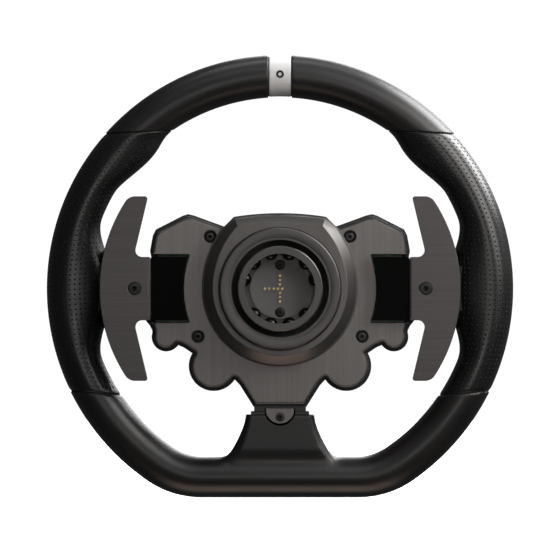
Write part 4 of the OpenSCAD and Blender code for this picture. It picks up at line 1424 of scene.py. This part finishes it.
class WHEEL_OT_stage(WheelOperator, bpy.types.Operator):
    """Sets up the pale floor, the soft studio lights and the camera"""

    bl_idname = "wheel.stage"
    bl_label = "Floor, lights and camera"

    # in metres: the floor's radius and height, the camera's distance, and the width it sees
    floor_radius, floor_z = 2.2, -0.1256
    distance, field = 4.0, 0.3292

    def build(self):
        scene = bpy.context.scene
        scene.view_settings.view_transform = "Standard"
        self.floor()
        self.world(scene)
        for row in LIGHTS:
            soft_box(*row)
        self.camera(scene)

    def floor(self):
        """A round floor that glows evenly, and takes no part in reflections."""
        r = self.floor_radius
        ring = [(r * math.cos(a), r * math.sin(a), self.floor_z) for a in round_angles(96)]
        mesh = bpy.data.meshes.new("floor")
        mesh.from_pydata(ring, [], [tuple(range(len(ring)))])
        floor = loose("floor", mesh)
        mat, tree, surface, _ = start("Pale studio floor", look("wheel_stage").floor, 0.6)
        tree.nodes.remove([n for n in tree.nodes if n.type == "OUTPUT_MATERIAL"][0])
        glow = add(tree, "ShaderNodeEmission", {"Color": WHITE, "Strength": 1.0})
        both = add(tree, "ShaderNodeAddShader", {0: surface.outputs[0], 1: glow.outputs[0]})
        add(tree, "ShaderNodeOutputMaterial", {"Surface": both.outputs[0]})
        mesh.materials.append(mat)
        floor.visible_diffuse = floor.visible_glossy = False

    def world(self, scene):
        """White where the camera looks past the floor, and nearly dark for the wheel itself."""
        world = bpy.data.worlds.new("Studio")
        scene.world = world
        world.use_nodes = True
        tree = world.node_tree
        tree.nodes.clear()
        path = add(tree, "ShaderNodeLightPath")
        dim = add(tree, "ShaderNodeBackground", {"Color": WHITE, "Strength": 0.08})
        white = add(tree, "ShaderNodeBackground", {"Color": WHITE, "Strength": 1.05})
        sockets = {0: path.outputs["Is Camera Ray"], 1: dim.outputs[0], 2: white.outputs[0]}
        mixed = add(tree, "ShaderNodeMixShader", sockets)
        add(tree, "ShaderNodeOutputWorld", {0: mixed.outputs[0]})

    def camera(self, scene):
        data = bpy.data.cameras.new("camera")
        camera = loose("camera", data)
        camera.location = (-0.003, 0.040 - self.distance, 0.0081)
        camera.rotation_euler = (math.pi / 2, 0, 0)
        data.sensor_width = 36
        data.lens = data.sensor_width * self.distance / self.field
        data.clip_start, data.clip_end = 0.1, 50
        scene.camera = camera


class WHEEL_PT_panel(bpy.types.Panel):
    """Lists the wheel's sizes, finishes and steps"""

    bl_idname = "WHEEL_PT_panel"
    bl_label = "Racing wheel"
    bl_space_type = "VIEW_3D"
    bl_region_type = "UI"
    bl_category = "Racing wheel"

    def draw(self, context):
        for group in ("wheel_rim", "wheel_grips", "wheel_finishes", "wheel_stage"):
            box = self.layout.box()
            settings = getattr(context.scene, group)
            for name in settings.__annotations__:
                box.prop(settings, name)
        for step in STEPS:
            self.layout.operator(step.bl_idname)


STEPS = (
    WHEEL_OT_materials,
    WHEEL_OT_rim_tops,
    WHEEL_OT_grips,
    WHEEL_OT_seams,
    WHEEL_OT_marker,
    WHEEL_OT_rim_bottom,
    WHEEL_OT_cover,
    WHEEL_OT_housing,
    WHEEL_OT_paddles,
    WHEEL_OT_fasteners,
    WHEEL_OT_release,
    WHEEL_OT_nodes,
    WHEEL_OT_stage,
)
GROUPS = {
    "wheel_rim": RimSizes,
    "wheel_grips": GripSizes,
    "wheel_finishes": Finishes,
    "wheel_stage": StageLook,
}


def register():
    for cls in (*GROUPS.values(), *STEPS, WHEEL_PT_panel):
        bpy.utils.register_class(cls)
    for name, group in GROUPS.items():
        setattr(bpy.types.Scene, name, bpy.props.PointerProperty(type=group))


def unregister():
    for name in GROUPS:
        delattr(bpy.types.Scene, name)
    for cls in (WHEEL_PT_panel, *reversed(STEPS), *reversed(GROUPS.values())):
        bpy.utils.unregister_class(cls)


def main():
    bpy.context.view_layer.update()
    register()
    for step in STEPS:
        group, name = step.bl_idname.split(".")
        getattr(getattr(bpy.ops, group), name)()


if __name__ == "__main__":
    main()
